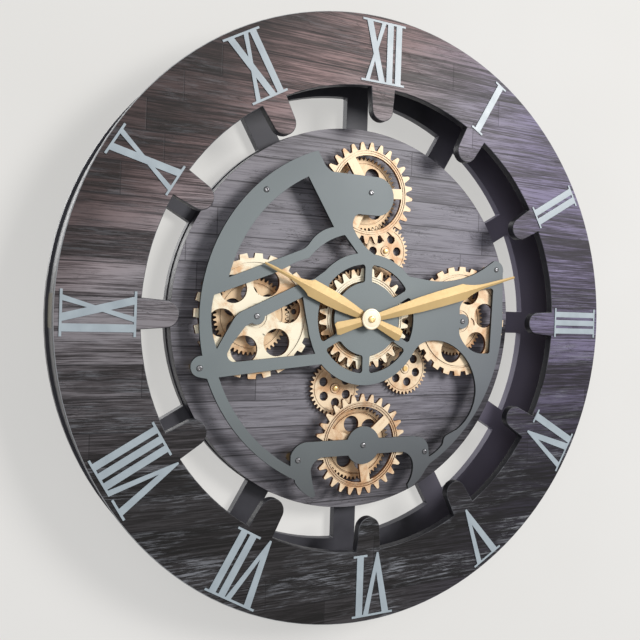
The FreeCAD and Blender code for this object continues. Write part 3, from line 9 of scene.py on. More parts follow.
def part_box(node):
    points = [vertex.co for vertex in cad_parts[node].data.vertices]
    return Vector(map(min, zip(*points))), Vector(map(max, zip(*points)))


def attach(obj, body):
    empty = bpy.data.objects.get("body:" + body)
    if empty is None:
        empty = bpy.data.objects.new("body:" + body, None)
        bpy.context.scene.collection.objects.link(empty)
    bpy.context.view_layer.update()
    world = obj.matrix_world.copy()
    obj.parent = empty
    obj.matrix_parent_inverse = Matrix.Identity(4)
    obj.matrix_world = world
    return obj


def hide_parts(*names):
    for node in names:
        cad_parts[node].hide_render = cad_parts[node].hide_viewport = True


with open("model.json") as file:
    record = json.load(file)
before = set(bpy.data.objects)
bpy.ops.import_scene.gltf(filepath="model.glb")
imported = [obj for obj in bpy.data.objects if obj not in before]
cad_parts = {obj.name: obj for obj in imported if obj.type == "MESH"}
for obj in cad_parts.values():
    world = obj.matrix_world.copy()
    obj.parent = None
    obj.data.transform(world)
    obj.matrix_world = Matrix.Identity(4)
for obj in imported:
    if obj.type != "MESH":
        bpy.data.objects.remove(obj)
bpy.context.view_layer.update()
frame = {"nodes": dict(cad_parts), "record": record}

MM = 0.001
NODES = frame["nodes"]
BODY_OF = {
    node: body
    for body, members in frame["record"]["behaviour"]["bodies"].items()
    for node in members
}


# Camera at the photograph's place, with its small shift
CAMERA_PLACE = Vector((-0.38150, -0.73333, 0.00960))
CAMERA_TURN = Vector((0.0105472479, 0.0314083565, 0.5068944802))
FOCAL_PIXELS = 776.125
CENTRE_PIXELS = (368.263, 311.345)
PHOTO_PIXELS = 640
SENSOR = 36.0
CLIP_START = 0.02


def add_camera():
    """Camera whose turn from the world is CAMERA_TURN, with depth as the second axis."""
    right, ahead, up = Matrix.Rotation(CAMERA_TURN.length, 3, CAMERA_TURN.normalized())
    data = bpy.data.cameras.new("camera")
    data.sensor_width = SENSOR
    data.lens = FOCAL_PIXELS * SENSOR / PHOTO_PIXELS
    data.shift_x = (PHOTO_PIXELS / 2 - CENTRE_PIXELS[0]) / PHOTO_PIXELS
    data.shift_y = (CENTRE_PIXELS[1] - PHOTO_PIXELS / 2) / PHOTO_PIXELS
    data.clip_start = CLIP_START
    camera = bpy.data.objects.new("camera", data)
    bpy.context.scene.collection.objects.link(camera)
    pose = Matrix((right, up, -ahead)).transposed().to_4x4()
    pose.translation = CAMERA_PLACE
    camera.matrix_world = pose
    bpy.context.scene.camera = camera


# Node trees
NOISE_LOW = 0.3
NOISE_HIGH = 0.7


class Value:
    """The output of a node. Sums and products of such values become Math nodes."""

    def __init__(self, tree, socket):
        self.tree = tree
        self.socket = socket

    def __add__(self, other):
        return self.tree.math("ADD", self, other)

    def __sub__(self, other):
        return self.tree.math("SUBTRACT", self, other)

    def __rsub__(self, other):
        return self.tree.math("SUBTRACT", other, self)

    def __mul__(self, other):
        return self.tree.math("MULTIPLY", self, other)

    def __truediv__(self, other):
        return self.tree.math("DIVIDE", self, other)


class Tree:
    """A node tree with helpers that add and join its nodes."""

    def __init__(self, tree):
        self.tree = tree

    def first(self, kind):
        return next(node for node in self.tree.nodes if node.type == kind)

    def add(self, kind, inputs=None, **properties):
        node = self.tree.nodes.new(kind)
        for key, value in properties.items():
            setattr(node, key, value)
        for key, value in (inputs or {}).items():
            self.put(node.inputs[key], value)
        return node

    def put(self, socket, value):
        if isinstance(value, Value):
            value = value.socket
        if isinstance(value, bpy.types.NodeSocket):
            self.tree.links.new(value, socket)
        else:
            socket.default_value = value

    def math(self, operation, *values, clamp=False):
        node = self.add("ShaderNodeMath", operation=operation, use_clamp=clamp)
        for index, value in enumerate(values):
            self.put(node.inputs[index], value)
        return Value(self, node.outputs[0])


class Paint(Tree):
    """A material with helpers for its textures and colours."""

    def __init__(self, name, **values):
        self.material = bpy.data.materials.new(name)
        self.material.use_nodes = True
        super().__init__(self.material.node_tree)
        self.shader = self.first("BSDF_PRINCIPLED")
        for key, value in values.items():
            self.shader.inputs[key.replace("_", " ")].default_value = value
        coordinates = self.add("ShaderNodeTexCoord").outputs
        self.place = coordinates["Object"]
        self.normal = coordinates["Normal"]

    def split(self, vector):
        outputs = self.add("ShaderNodeSeparateXYZ", {"Vector": vector}).outputs
        return [Value(self, output) for output in outputs]

    def join(self, x, y, z):
        return self.add("ShaderNodeCombineXYZ", {"X": x, "Y": y, "Z": z}).outputs[0]

    def moved(self, offset=(0, 0, 0), scale=(1, 1, 1)):
        inputs = {"Vector": self.place, "Location": offset, "Scale": scale}
        return self.add("ShaderNodeMapping", inputs).outputs[0]

    def noise(self, vector, scale, detail=4.0, rough=0.55, distort=0.0):
        inputs = {"Vector": vector, "Scale": scale, "Detail": detail}
        inputs.update({"Roughness": rough, "Distortion": distort})
        return Value(self, self.add("ShaderNodeTexNoise", inputs).outputs["Fac"])

    def chance(self, value):
        """A number from 0 to 1 that stays the same for each whole value."""
        node = self.add("ShaderNodeTexWhiteNoise", {"W": value}, noise_dimensions="1D")
        return Value(self, node.outputs["Value"])

    def ramp(self, value, stops):
        """Colour that goes through the stops, each a place from 0 to 1 and a colour."""
        node = self.add("ShaderNodeValToRGB", {"Fac": value})
        row = node.color_ramp.elements
        while len(row) < len(stops):
            row.new(0.5)
        for element, (place, colour) in zip(row, stops):
            element.position = place
            element.color = (*colour, 1)
        return Value(self, node.outputs["Color"])

    def span(self, value, low, high, to_low=0.0, to_high=1.0):
        """The value's place between low and high, carried over to the other two numbers and held there."""
        inputs = {"Value": value, "From Min": low, "From Max": high, "To Min": to_low, "To Max": to_high}
        return Value(self, self.add("ShaderNodeMapRange", inputs).outputs["Result"])

    def mix(self, share, first, second, blend="MIX"):
        node = self.add("ShaderNodeMix", data_type="RGBA", blend_type=blend)
        factor, colour_a, colour_b = node.inputs[0], node.inputs[6], node.inputs[7]
        self.put(factor, share)
        for socket, value in ((colour_a, first), (colour_b, second)):
            self.put(socket, (*value, 1) if isinstance(value, tuple) else value)
        return Value(self, node.outputs[2])

    def spread(self, noise, to_low=0.0, to_high=1.0):
        """The usual range of a noise, carried over to the two numbers."""
        return self.span(noise, NOISE_LOW, NOISE_HIGH, to_low, to_high)

    def cloudy(self, cloud, first, second):
        """The first colour that turns into the second in soft patches."""
        return self.mix(self.spread(cloud), first, second)

    def radius(self, x, z):
        return self.math("SQRT", x * x + z * z)

    def end_distance(self, share):
        """How far a share from 0 to 1 is from the nearer of its two ends."""
        return self.math("MINIMUM", share, 1.0 - share)

    def facing(self):
        """How far the surface faces along the clock's axis, from 0 at its edges to 1."""
        return self.math("ABSOLUTE", self.split(self.normal)[1])

    def backward(self):
        """1 on the faces that look to the wall, 0 on the others."""
        return self.math("GREATER_THAN", self.split(self.normal)[1], 0.7)

    def finish(self, colour, roughness, height, distance, strength):
        """Colour, roughness and a bump of that height, with distance in metres."""
        self.put(self.shader.inputs["Base Color"], colour)
        self.put(self.shader.inputs["Roughness"], roughness)
        bump = self.add("ShaderNodeBump", {"Height": height, "Distance": distance, "Strength": strength})
        self.put(self.shader.inputs["Normal"], bump.outputs[0])
        return self.material


# Materials. Lengths and places are in metres; END_SEAM_SPAN is a share of a plank's length.
BLACK = (0.0, 0.0, 0.0)
PLANK_LENGTH = 0.31
PLANK_WAVE = 0.0022
ROW_SHIFT = 7.0
ROW_SEED = 13.7
SEAM_SPAN = (0.0002, 0.0010)
END_SEAM_SPAN = (0.0, 0.0022)
WORN_SPAN = (-0.22, 0.02)
WORN_ABOVE = 0.22
# Painted brown reflection at the top left of the print: where it starts and is full, and its slant.
BROWN_REFLECTION_SPAN = (0.17, 0.27)
BROWN_REFLECTION_SLOPE = -0.6
# Painted violet reflection of the window at the right of the print: where it starts and is full.
VIOLET_REFLECTION_SPAN = (0.02, 0.20)
OUTER_EDGE_RADIUS = 0.29
CRACK_COLOUR = (0.010, 0.009, 0.010)
SEAM_COLOUR = (0.007, 0.006, 0.008)
# Colour of the painted brown reflection, multiplied into the print.
BROWN_REFLECTION_TINT = (0.95, 0.61, 0.54)
# Colour of the painted violet reflection of the window, multiplied into the print.
VIOLET_REFLECTION_TINT = (0.70, 0.66, 1.0)
EDGE_COLOURS = ((0.016, 0.016, 0.020), (0.032, 0.032, 0.040))
RUBBED_COLOUR = (0.26, 0.27, 0.29)
# Painted highlight on the chamfer round the ring's outer edge.
OUTER_EDGE_HIGHLIGHT_COLOUR = (0.62, 0.64, 0.66)
BARE_BOARD = ((0.34, (0.19, 0.155, 0.11)), (0.52, (0.34, 0.29, 0.215)), (0.70, (0.47, 0.41, 0.32)))


def painted_light_on_planks(paint, colour, cloud, reach, painted_light_levels, shade, brown_reflection_share, violet_reflection_share):
    """Painted light on the print: its tone rising from bottom to top, painted shade on one side, a painted
    brown reflection at the top left and a painted violet reflection at the right.
    """
    x, _, z = paint.split(paint.place)
    # Painted light and shade: the print darkens towards the bottom and lightens towards the top.
    painted_light_level = paint.ramp(paint.span(z, -reach, reach), [(place, (share,) * 3) for place, share in painted_light_levels])
    colour = paint.mix(1.0, colour, painted_light_level, "MULTIPLY")
    # Painted shade: one side is darkened towards black.
    across, up, start, stop, least = shade
    way = x * across + z * up + paint.spread(cloud, -0.03, 0.03)
    colour = paint.mix(paint.span(way, start, stop, 0.0, 1.0 - least), colour, BLACK)
    # Painted reflection: the top left of the print turns warm brown.
    brown = paint.span(z + x * BROWN_REFLECTION_SLOPE, *BROWN_REFLECTION_SPAN) * brown_reflection_share
    colour = paint.mix(brown, colour, BROWN_REFLECTION_TINT, "MULTIPLY")
    # Painted reflection: the right of the print turns violet with the window's reflection.
    violet = paint.span(x, *VIOLET_REFLECTION_SPAN) * violet_reflection_share
    return paint.mix(violet, colour, VIOLET_REFLECTION_TINT, "MULTIPLY")


def board_edges(paint, colour, cloud):
    """Dark cut edges, rubbed pale where they are broken, with a painted highlight on the chamfer round the
    ring's outer edge, and bare board on the back.
    """
    x, _, z = paint.split(paint.place)
    edge = paint.cloudy(cloud, *EDGE_COLOURS)
    rubbed = paint.mix(paint.span(cloud, 0.42, 0.60, 0.0, 0.5), edge, RUBBED_COLOUR)
    # Painted highlight: beyond OUTER_EDGE_RADIUS the chamfer turns pale, where the ring's outer edge catches
    # the light.
    outer = paint.math("GREATER_THAN", paint.radius(x, z), OUTER_EDGE_RADIUS)
    rubbed = paint.mix(outer * 0.8, rubbed, OUTER_EDGE_HIGHLIGHT_COLOUR)
    colour = paint.mix(paint.span(paint.facing(), 0.90, 0.98), rubbed, colour)
    colour = paint.mix(paint.span(paint.facing(), 0.20, 0.50), edge, colour)
    chips = paint.noise(paint.moved(scale=(1, 2.5, 1)), scale=700.0, detail=5.0, rough=0.65)
    return paint.mix(paint.backward(), colour, paint.ramp(chips, BARE_BOARD))


def plank_print(name, width, offset, colours, fleck, wear, reach, painted_light_levels, shade, brown_reflection_share, violet_reflection_share):
    """Printed planks that run across the clock, worn and cracked along the grain, with a painted edge.

    painted_light_levels gives the painted light and shade from bottom to top, as tone at places from 0, at
    the height
    -reach, to 1, at the height reach. shade is painted shade on one side: a direction across and up, where
    it starts and is full, and the share of light left there.
    """
    paint = Paint(name, Specular_IOR_Level=0.22)
    dark, middle, light = colours
    x, _, z = paint.split(paint.place)
    wave = paint.noise(paint.moved(scale=(6, 0, 1)), scale=1.0, detail=2.0)
    height = z + paint.span(wave, 0, 1, -PLANK_WAVE, PLANK_WAVE)
    rows = (height + offset) / width
    row = paint.math("FLOOR", rows)
    shift = paint.chance(row) * ROW_SHIFT
    along = x + shift
    lengths = along / PLANK_LENGTH
    tone = paint.chance(row * ROW_SEED + paint.math("FLOOR", lengths))

    def grain(along_scale, across_scale, detail, rough=0.6, distort=0.0):
        """Noise that differs from row to row, usually drawn out along the planks."""
        place = paint.join(along * along_scale, shift, height * across_scale)
        return paint.noise(place, 1.0, detail, rough, distort)

    broad = grain(5.0, 75.0, 4.0, distort=0.5)
    streak = grain(9.0, 400.0, 8.0, 0.74, 0.10)
    fibre = grain(24.0, 900.0, 4.0, 0.7)
    cloud = grain(9.0, 26.0, 4.0, distort=0.4)
    value = streak * 0.48 + fibre * 0.52
    value = value + paint.spread(broad, -0.06, 0.06) + paint.span(tone, 0, 1, -0.045, 0.045)
    colour = paint.ramp(value, ((0.425, dark), (0.50, middle), (0.58, light)))

    ridge = paint.math("ABSOLUTE", grain(11.0, 95.0, 5.0, 0.7, 0.9) - 0.5)
    crack = paint.span(ridge, 0.0, 0.012, 1, 0) * paint.span(cloud, 0.44, 0.56)
    colour = paint.mix(crack * 0.80, colour, CRACK_COLOUR)
    colour = painted_light_on_planks(paint, colour, cloud, reach, painted_light_levels, shade, brown_reflection_share, violet_reflection_share)

    scratches = paint.span(grain(24.0, 420.0, 6.0, 0.80), 0.50, 0.60)
    worn = paint.math("MULTIPLY", scratches, paint.span(cloud, 0.44, 0.58), clamp=True)
    colour = paint.mix(worn * paint.span(z, *WORN_SPAN, wear, WORN_ABOVE), colour, fleck)

    long_seam = paint.span(paint.end_distance(paint.math("FRACT", rows)) * width, *SEAM_SPAN, 1, 0)
    end_seam = paint.span(paint.end_distance(paint.math("FRACT", lengths)), *END_SEAM_SPAN, 1, 0)
    seam = paint.math("MAXIMUM", long_seam, end_seam)
    colour = paint.mix(seam * 0.70, colour, SEAM_COLOUR)
    colour = board_edges(paint, colour, cloud)
    relief = streak * 0.6 + fibre * 0.4 - seam - crack * 0.5
    return paint.finish(colour, paint.spread(streak, 0.38, 0.54), relief, distance=0.00014, strength=0.5)


def black_board(name, low, high, rough=(0.42, 0.58)):
    """Black boards with a painted violet sheen of window light towards the right, and specks of dust."""
    paint = Paint(name, Specular_IOR_Level=0.3)
    cloud = paint.noise(paint.place, scale=22.0, detail=4.0)
    grain = paint.noise(paint.place, scale=900.0, detail=3.0)
    dust = paint.noise(paint.moved(offset=(1, 2, 3)), scale=420.0, detail=2.0)
    # Painted sheen: towards the right the black turns violet-grey, where the window's light falls on it.
    right = paint.span(paint.split(paint.place)[0], 0.08, 0.20, 0.0, 0.8)
    colour = paint.mix(right, paint.cloudy(cloud, low, high), (0.230, 0.208, 0.290))
    colour = paint.mix(paint.span(dust, 0.70, 0.80, 0, 0.5), colour, (0.10, 0.105, 0.115))
    return paint.finish(colour, paint.spread(cloud, *rough), grain, distance=0.00012, strength=0.35)


def slate_paint(name):
    """Slate grey metallic paint with fine speckle and dark cut edges, with painted shade that darkens it low
    down, high up and to the right.
    """
    paint = Paint(name, Metallic=0.12, Specular_IOR_Level=0.4)
    x, _, z = paint.split(paint.place)
    cloud = paint.noise(paint.place, scale=9.0, detail=3.0)
    speckle = paint.noise(paint.place, scale=2600.0, detail=2.0)
    colour = paint.cloudy(cloud, (0.155, 0.182, 0.190), (0.200, 0.230, 0.236))
    colour = paint.mix(paint.span(speckle, 0.45, 0.65, 0, 0.30), colour, (0.30, 0.34, 0.35))
    # Painted shade: the plate is darkened to the right, low down and high up.
    right = paint.span(x - z * 0.6, 0.03, 0.20, 0.0, 0.55)
    low = paint.span(z, -0.18, -0.06, 0.72, 0.0)
    high = paint.span(z, 0.04, 0.16, 0.0, 0.50)
    colour = paint.mix(right, colour, (0.085, 0.086, 0.112))
    colour = paint.mix(low, colour, (0.052, 0.053, 0.058))
    colour = paint.mix(high, colour, (0.092, 0.108, 0.118))
    colour = paint.mix(paint.span(paint.facing(), 0.75, 0.95), (0.030, 0.032, 0.034), colour)
    return paint.finish(colour, paint.spread(cloud, 0.44, 0.56), speckle, distance=0.00008, strength=0.25)


def rose_paint(name, axis, light, deep, seed):
    """Pale rose-gold paint that turns orange-brown in patches and dark along the cut edges, where the dark
    is partly the burnt board and partly painted shade.
    """
    paint = Paint(name, Metallic=0.15, Specular_IOR_Level=0.4)
    x, _, z = paint.split(paint.moved(offset=(-axis[0], 0, -axis[2])))
    cloud = paint.noise(paint.place, scale=38.0, detail=3.0, rough=0.6, distort=0.4)
    fine = paint.noise(paint.moved(scale=(1, 1, 3.2)), scale=700.0, detail=3.0)
    brushed = paint.noise(paint.join(paint.radius(x, z) * 1800.0, 0.0, seed), scale=1.0, detail=2.0)
    colour = paint.mix(paint.span(cloud * 0.8 + fine * 0.2, 0.39, 0.53), deep, light)
    colour = paint.mix(paint.span(brushed, 0.35, 0.75, 0.0, 0.14), colour, (0.98, 0.92, 0.76))
    # Dark brown sides: partly burnt cut board and partly painted shade of the outlines.
    colour = paint.mix(paint.span(paint.facing(), 0.72, 0.93), (0.16, 0.062, 0.024), colour)
    return paint.finish(colour, paint.spread(cloud, 0.44, 0.58), fine, distance=0.00008, strength=0.35)


def burnt_groove(name):
    """Dark brown ground of the turned grooves and slits."""
    paint = Paint(name)
    cloud = paint.noise(paint.place, scale=260.0, detail=3.0)
    colour = paint.cloudy(cloud, (0.050, 0.021, 0.010), (0.110, 0.050, 0.022))
    return paint.finish(colour, 0.72, cloud, distance=0.0001, strength=0.4)


def gold_satin(name, light=(0.65, 0.46, 0.205), deep=(0.56, 0.385, 0.165), rough=(0.46, 0.58)):
    """Satin gold of the hands and their cap, with a fine upright grain and browner sides."""
    paint = Paint(name, Metallic=0.22)
    cloud = paint.noise(paint.place, scale=30.0, detail=3.0)
    brushed = paint.noise(paint.moved(scale=(1, 1, 0.25)), scale=1500.0, detail=2.0)
    colour = paint.cloudy(cloud, deep, light)
    colour = paint.mix(paint.span(paint.facing(), 0.30, 0.75), (0.34, 0.20, 0.085), colour)
    return paint.finish(colour, paint.spread(brushed, *rough), brushed, distance=0.00003, strength=0.3)


def pale_lacquer(name):
    """Pale blue-grey lacquer of the numerals, darker on their sides."""
    paint = Paint(name, Specular_IOR_Level=0.5)
    cloud = paint.noise(paint.place, scale=60.0, detail=3.0)
    fine = paint.noise(paint.place, scale=1400.0, detail=2.0)
    colour = paint.cloudy(cloud, (0.37, 0.43, 0.475), (0.44, 0.51, 0.555))
    colour = paint.mix(paint.span(paint.facing(), 0.5, 0.9), (0.25, 0.30, 0.34), colour)
    return paint.finish(colour, paint.spread(cloud, 0.30, 0.42), fine, distance=0.00005, strength=0.3)


def metal(name, low, high, rough=(0.24, 0.40), scratch_scale=(1, 1, 8)):
    """Bare metal with fine scratches."""
    paint = Paint(name, Metallic=1.0)
    cloud = paint.noise(paint.place, scale=120.0, detail=3.0)
    scratches = paint.noise(paint.moved(scale=scratch_scale), scale=1100.0, detail=2.0)
    colour = paint.cloudy(cloud, low, high)
    return paint.finish(colour, paint.spread(scratches, *rough), scratches, distance=0.00003, strength=0.3)


def black_moulding(name):
    """Moulded black plastic with a fine grain."""
    paint = Paint(name, Specular_IOR_Level=0.5)
    grain = paint.noise(paint.place, scale=2200.0, detail=3.0)
    cloud = paint.noise(paint.place, scale=40.0, detail=2.0)
    colour = paint.cloudy(cloud, (0.014, 0.014, 0.016), (0.026, 0.026, 0.029))
    return paint.finish(colour, paint.spread(grain, 0.44, 0.62), grain, distance=0.0001, strength=0.5)


def raw_fibre(name):
    """Bare fibre board, with short fibres and a burnt skin here and there."""
    paint = Paint(name, Specular_IOR_Level=0.25)
    fibre = paint.noise(paint.moved(scale=(1, 2.5, 1)), scale=900.0, detail=5.0, rough=0.65)
    cloud = paint.noise(paint.place, scale=90.0, detail=3.0)
    stops = ((0.32, (0.19, 0.175, 0.135)), (0.55, (0.36, 0.34, 0.275)), (0.72, (0.50, 0.47, 0.39)))
    colour = paint.mix(paint.span(cloud, 0.45, 0.72, 0, 0.45), paint.ramp(fibre, stops), (0.20, 0.16, 0.11))
    return paint.finish(colour, paint.spread(fibre, 0.75, 0.9), fibre, distance=0.0003, strength=0.6)


def cell_sleeve(name):
    """Plain cell: a dark sleeve with copper-coloured bands across it."""
    paint = Paint(name, Metallic=0.6)
    x = paint.split(paint.place)[0]
    cloud = paint.noise(paint.place, scale=80.0, detail=2.0)
    fine = paint.noise(paint.place, scale=1500.0, detail=2.0)
    band = paint.math("GREATER_THAN", paint.math("FRACT", (x + 0.5) * 10.0), 0.80)
    sleeve = paint.cloudy(cloud, (0.030, 0.032, 0.036), (0.050, 0.053, 0.060))
    colour = paint.mix(band, sleeve, (0.50, 0.27, 0.12))
    return paint.finish(colour, paint.spread(cloud, 0.26, 0.38), fine, distance=0.00002, strength=0.2)


# Light and deep colour of each kind of gear
ROSE = ((0.93, 0.74, 0.51), (0.62, 0.34, 0.16))
CREAM = ((0.97, 0.89, 0.69), (0.74, 0.45, 0.23))
# The fine gears behind the show gears: darker and more orange, a painted shade of their place behind.
SHADED_FINE_ROSE = ((0.90, 0.66, 0.41), (0.56, 0.29, 0.12))
PALE_ROSE = ((0.95, 0.83, 0.64), (0.80, 0.58, 0.37))

# Painted light on the ring: darker towards the bottom, with painted shade at the top left and painted brown
# and violet reflections.
ring_print = plank_print(
    "ring_planks", width=0.0285, offset=0.3005,
    colours=((0.032, 0.027, 0.029), (0.135, 0.120, 0.130), (0.340, 0.315, 0.338)),
    fleck=(0.27, 0.28, 0.31), wear=0.80, reach=0.30,
    painted_light_levels=((0.0, 0.16), (0.12, 0.09), (0.25, 0.12), (0.40, 0.58), (0.55, 0.95), (1.0, 0.95)),
    shade=(-1.0, 0.9, 0.28, 0.36, 0.22), brown_reflection_share=0.8, violet_reflection_share=1.0,
)
# Painted light on the dial: darker towards the bottom, with a painted shadow of the plate at the lower
# right.
dial_print = plank_print(
    "dial_planks", width=0.0262, offset=0.2130,
    colours=((0.128, 0.122, 0.138), (0.240, 0.230, 0.260), (0.305, 0.295, 0.328)),
    fleck=(0.40, 0.39, 0.43), wear=0.30, reach=0.22,
    painted_light_levels=((0.0, 0.60), (0.25, 0.92), (0.6, 1.0), (1.0, 1.0)),
    shade=(1.0, -0.9, 0.18, 0.24, 0.30), brown_reflection_share=0.10, violet_reflection_share=0.25,
)
frame_black = black_board("frame_black", (0.046, 0.046, 0.056), (0.078, 0.078, 0.094))
rim_black = black_board("rim_black", (0.022, 0.023, 0.028), (0.040, 0.042, 0.050), (0.34, 0.48))
slate = slate_paint("slate_paint")
groove_brown = burnt_groove("burnt_groove")
hand_gold = gold_satin("hand_gold")
cap_gold = gold_satin("cap_gold", (0.95, 0.88, 0.70), (0.86, 0.74, 0.54), (0.34, 0.46))
brass = metal("bright_brass", (0.66, 0.46, 0.20), (0.84, 0.62, 0.30))
steel = metal("zinc_steel", (0.42, 0.43, 0.44), (0.62, 0.63, 0.64))
screw_steel = metal("dark_screw_steel", (0.10, 0.10, 0.11), (0.26, 0.26, 0.27), (0.22, 0.36), (1, 1, 1))
lacquer = pale_lacquer("numeral_lacquer")
plastic = black_moulding("black_moulding")
fibre_board = raw_fibre("raw_fibre_board")
sleeve_paint = cell_sleeve("cell_sleeve")


# Meshes
MERGE_DISTANCE = 2e-6
FLAT_DEGREES = 0.6
CORNER_DEGREES = 35
SMOOTH_DEGREES = 38
ACROSS_AXIS = 0.99
CUT_CLEARANCE = 0.001
GROOVE_MATERIAL = 1


def centre_of(node):
    low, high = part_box(node)
    return (low + high) / 2


def replace_node(node, name, mesh, materials):
    """A new piece from the mesh, which stands for the node on its body and with its slot."""
    mesh.materials.clear()
    for material in materials:
        mesh.materials.append(material)
    piece = bpy.data.objects.new(name, mesh)
    bpy.context.scene.collection.objects.link(piece)
    flat = piece.modifiers.new("flat_faces", "WEIGHTED_NORMAL")
    flat.weight = 100
    flat.keep_sharp = True
    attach(piece, BODY_OF[node])
    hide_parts(node)


def node_bmesh(node):
    """The node's own shape, with the points of neighbouring faces joined."""
    work = bmesh.new()
    work.from_mesh(NODES[node].data)
    bmesh.ops.remove_doubles(work, verts=work.verts, dist=MERGE_DISTANCE)
    return work


def join_flat_faces(work):
    for face in work.faces:
        face.material_index = 0
    bmesh.ops.dissolve_limit(
        work, angle_limit=math.radians(FLAT_DEGREES), use_dissolve_boundaries=False,
        verts=work.verts, edges=work.edges, delimit={"NORMAL"},
    )


def chamfer(work, width, segments):
    """Small chamfer round the outlines of the faces that lie across the clock's axis."""
    work.normal_update()
    edges = []
    for edge in work.edges:
        if len(edge.link_faces) != 2:
            continue
        first, second = (face.normal for face in edge.link_faces)
        if first.angle(second, 0) < math.radians(CORNER_DEGREES):
            continue
        if max(abs(first.y), abs(second.y)) > ACROSS_AXIS:
            edges.append(edge)
    bmesh.ops.bevel(
        work, geom=edges, offset=width, offset_type="OFFSET", segments=segments,
        profile=0.5, affect="EDGES", clamp_overlap=True,
    )


def mesh_of(work, name, smooth_degrees=SMOOTH_DEGREES):
    """The mesh of a finished shape, smooth up to that angle between its faces."""
    mesh = bpy.data.meshes.new(name)
    work.normal_update()
    work.to_mesh(mesh)
    work.free()
    for polygon in mesh.polygons:
        polygon.use_smooth = True
    mesh.set_sharp_from_angle(angle=math.radians(smooth_degrees))
    return mesh


def close_cutter(work):
    for face in work.faces:
        face.material_index = GROOVE_MATERIAL
    bmesh.ops.recalc_face_normals(work, faces=work.faces)
    return work


def ring_cutter(centre, inner, outer, front, depth, steps=96):
    """Closed ring that cuts a groove into a face."""
    work = bmesh.new()
    above = front - CUT_CLEARANCE
    below = front + depth
    loops = []
    for radius, y in ((inner, above), (outer, above), (outer, below), (inner, below)):
        loop = []
        for step in range(steps):
            angle = 2 * math.pi * step / steps
            x = centre[0] + radius * math.cos(angle)
            z = centre[2] + radius * math.sin(angle)
            loop.append(work.verts.new((x, y, z)))
        loops.append(loop)
    for first, second in zip(loops, loops[1:] + loops[:1]):
        for step in range(steps):
            after = (step + 1) % steps
            work.faces.new((first[step], first[after], second[after], second[step]))
    return close_cutter(work)


SLIT_LENGTH = 0.0100
SLIT_WIDTH = 0.0036
SLIT_SLANT = math.radians(-58)
SLIT_DEPTH = 0.0012


def slit_cutter(centre, radius, degrees, front, steps=10):
    """Lens-shaped slit that slants across the face."""
    middle_x = centre[0] + radius * math.cos(math.radians(degrees))
    middle_z = centre[2] + radius * math.sin(math.radians(degrees))
    along = Vector((math.cos(SLIT_SLANT), math.sin(SLIT_SLANT)))
    outline = []
    for side in (1, -1):
        for step in range(steps):
            share = side * (2 * step / steps - 1)
            reach = SLIT_LENGTH / 2 * share
            half = side * SLIT_WIDTH / 2 * (1 - share * share)
            x = middle_x + along.x * reach - along.y * half
            z = middle_z + along.y * reach + along.x * half
            outline.append((x, z))
    work = bmesh.new()
    front_loop = [work.verts.new((x, front - CUT_CLEARANCE, z)) for x, z in outline]
    back_loop = [work.verts.new((x, front + SLIT_DEPTH, z)) for x, z in outline]
    work.faces.new(front_loop)
    work.faces.new(list(reversed(back_loop)))
    for index in range(len(outline)):
        after = (index + 1) % len(outline)
        work.faces.new((front_loop[index], front_loop[after], back_loop[after], back_loop[index]))
    return close_cutter(work)


def workshop_object(work, name):
    """A plain object of the shape, with two materials that tell new faces from old ones."""
    mesh = bpy.data.meshes.new(name)
    work.to_mesh(mesh)
    work.free()
    for material in (fibre_board, groove_brown):
        mesh.materials.append(material)
    item = bpy.data.objects.new(name, mesh)
    bpy.context.scene.collection.objects.link(item)
    return item


def cut_shape(work, cutters, name):
    """The shape with the cutters taken out; the cut faces keep the cutters' material."""
    item = workshop_object(work, name + "_blank")
    tools = [workshop_object(cutter, "%s_tool_%d" % (name, index)) for index, cutter in enumerate(cutters)]
    for tool in tools:
        modifier = item.modifiers.new("cut", "BOOLEAN")
        modifier.operation = "DIFFERENCE"
        modifier.solver = "EXACT"
        modifier.object = tool
    result = bmesh.new()
    result.from_object(item, bpy.context.evaluated_depsgraph_get())
    for thing in tools + [item]:
        mesh = thing.data
        bpy.data.objects.remove(thing)
        bpy.data.meshes.remove(mesh)
    return result


def stand_in(node, materials, width, segments, centre=None, grooves=(), slits=(), face=None):
    """A finished copy of a node: its own shape with broken edges, and with grooves and slits in one face.

    A groove is an inner radius, an outer radius and a depth, and a slit is a radius and a direction in
    degrees, with the lengths in millimetres. face gives the grooves' face where it isn't the node's front.
    """
    work = node_bmesh(node)
    join_flat_faces(work)
    if grooves:
        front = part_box(node)[0][1]
        ground = front if face is None else face
        cutters = [
            ring_cutter(centre, inner * MM, outer * MM, ground, depth * MM)
            for inner, outer, depth in grooves
        ]
        cutters += [slit_cutter(centre, radius * MM, degrees, front) for radius, degrees in slits]
        work = cut_shape(work, cutters, node)
    chamfer(work, width, segments)
    name = node + "_finished"
    replace_node(node, name, mesh_of(work, name), materials)


def lathe(work, centre, profile, steps, corners=()):
    """Turned form about an axis along Y.

    A profile point is a radius and a depth. The points whose numbers are in corners get six sides.
    """
    loops = []
    for index, (radius, y) in enumerate(profile):
        if radius == 0:
            loops.append([work.verts.new((centre[0], y, centre[2]))])
            continue
        loop = []
        for step in range(steps):
            angle = 2 * math.pi * step / steps
            reach = radius
            if index in corners:
                reach = radius / math.cos((angle + math.pi / 6) % (math.pi / 3) - math.pi / 6)
            x = centre[0] + reach * math.cos(angle)
            z = centre[2] + reach * math.sin(angle)
            loop.append(work.verts.new((x, y, z)))
        loops.append(loop)
    for first, second in zip(loops, loops[1:]):
        for step in range(steps):
            after = (step + 1) % steps
            if len(first) == 1:
                work.faces.new((first[0], second[after], second[step]))
            elif len(second) == 1:
                work.faces.new((first[step], first[after], second[0]))
            else:
                work.faces.new((first[step], first[after], second[after], second[step]))


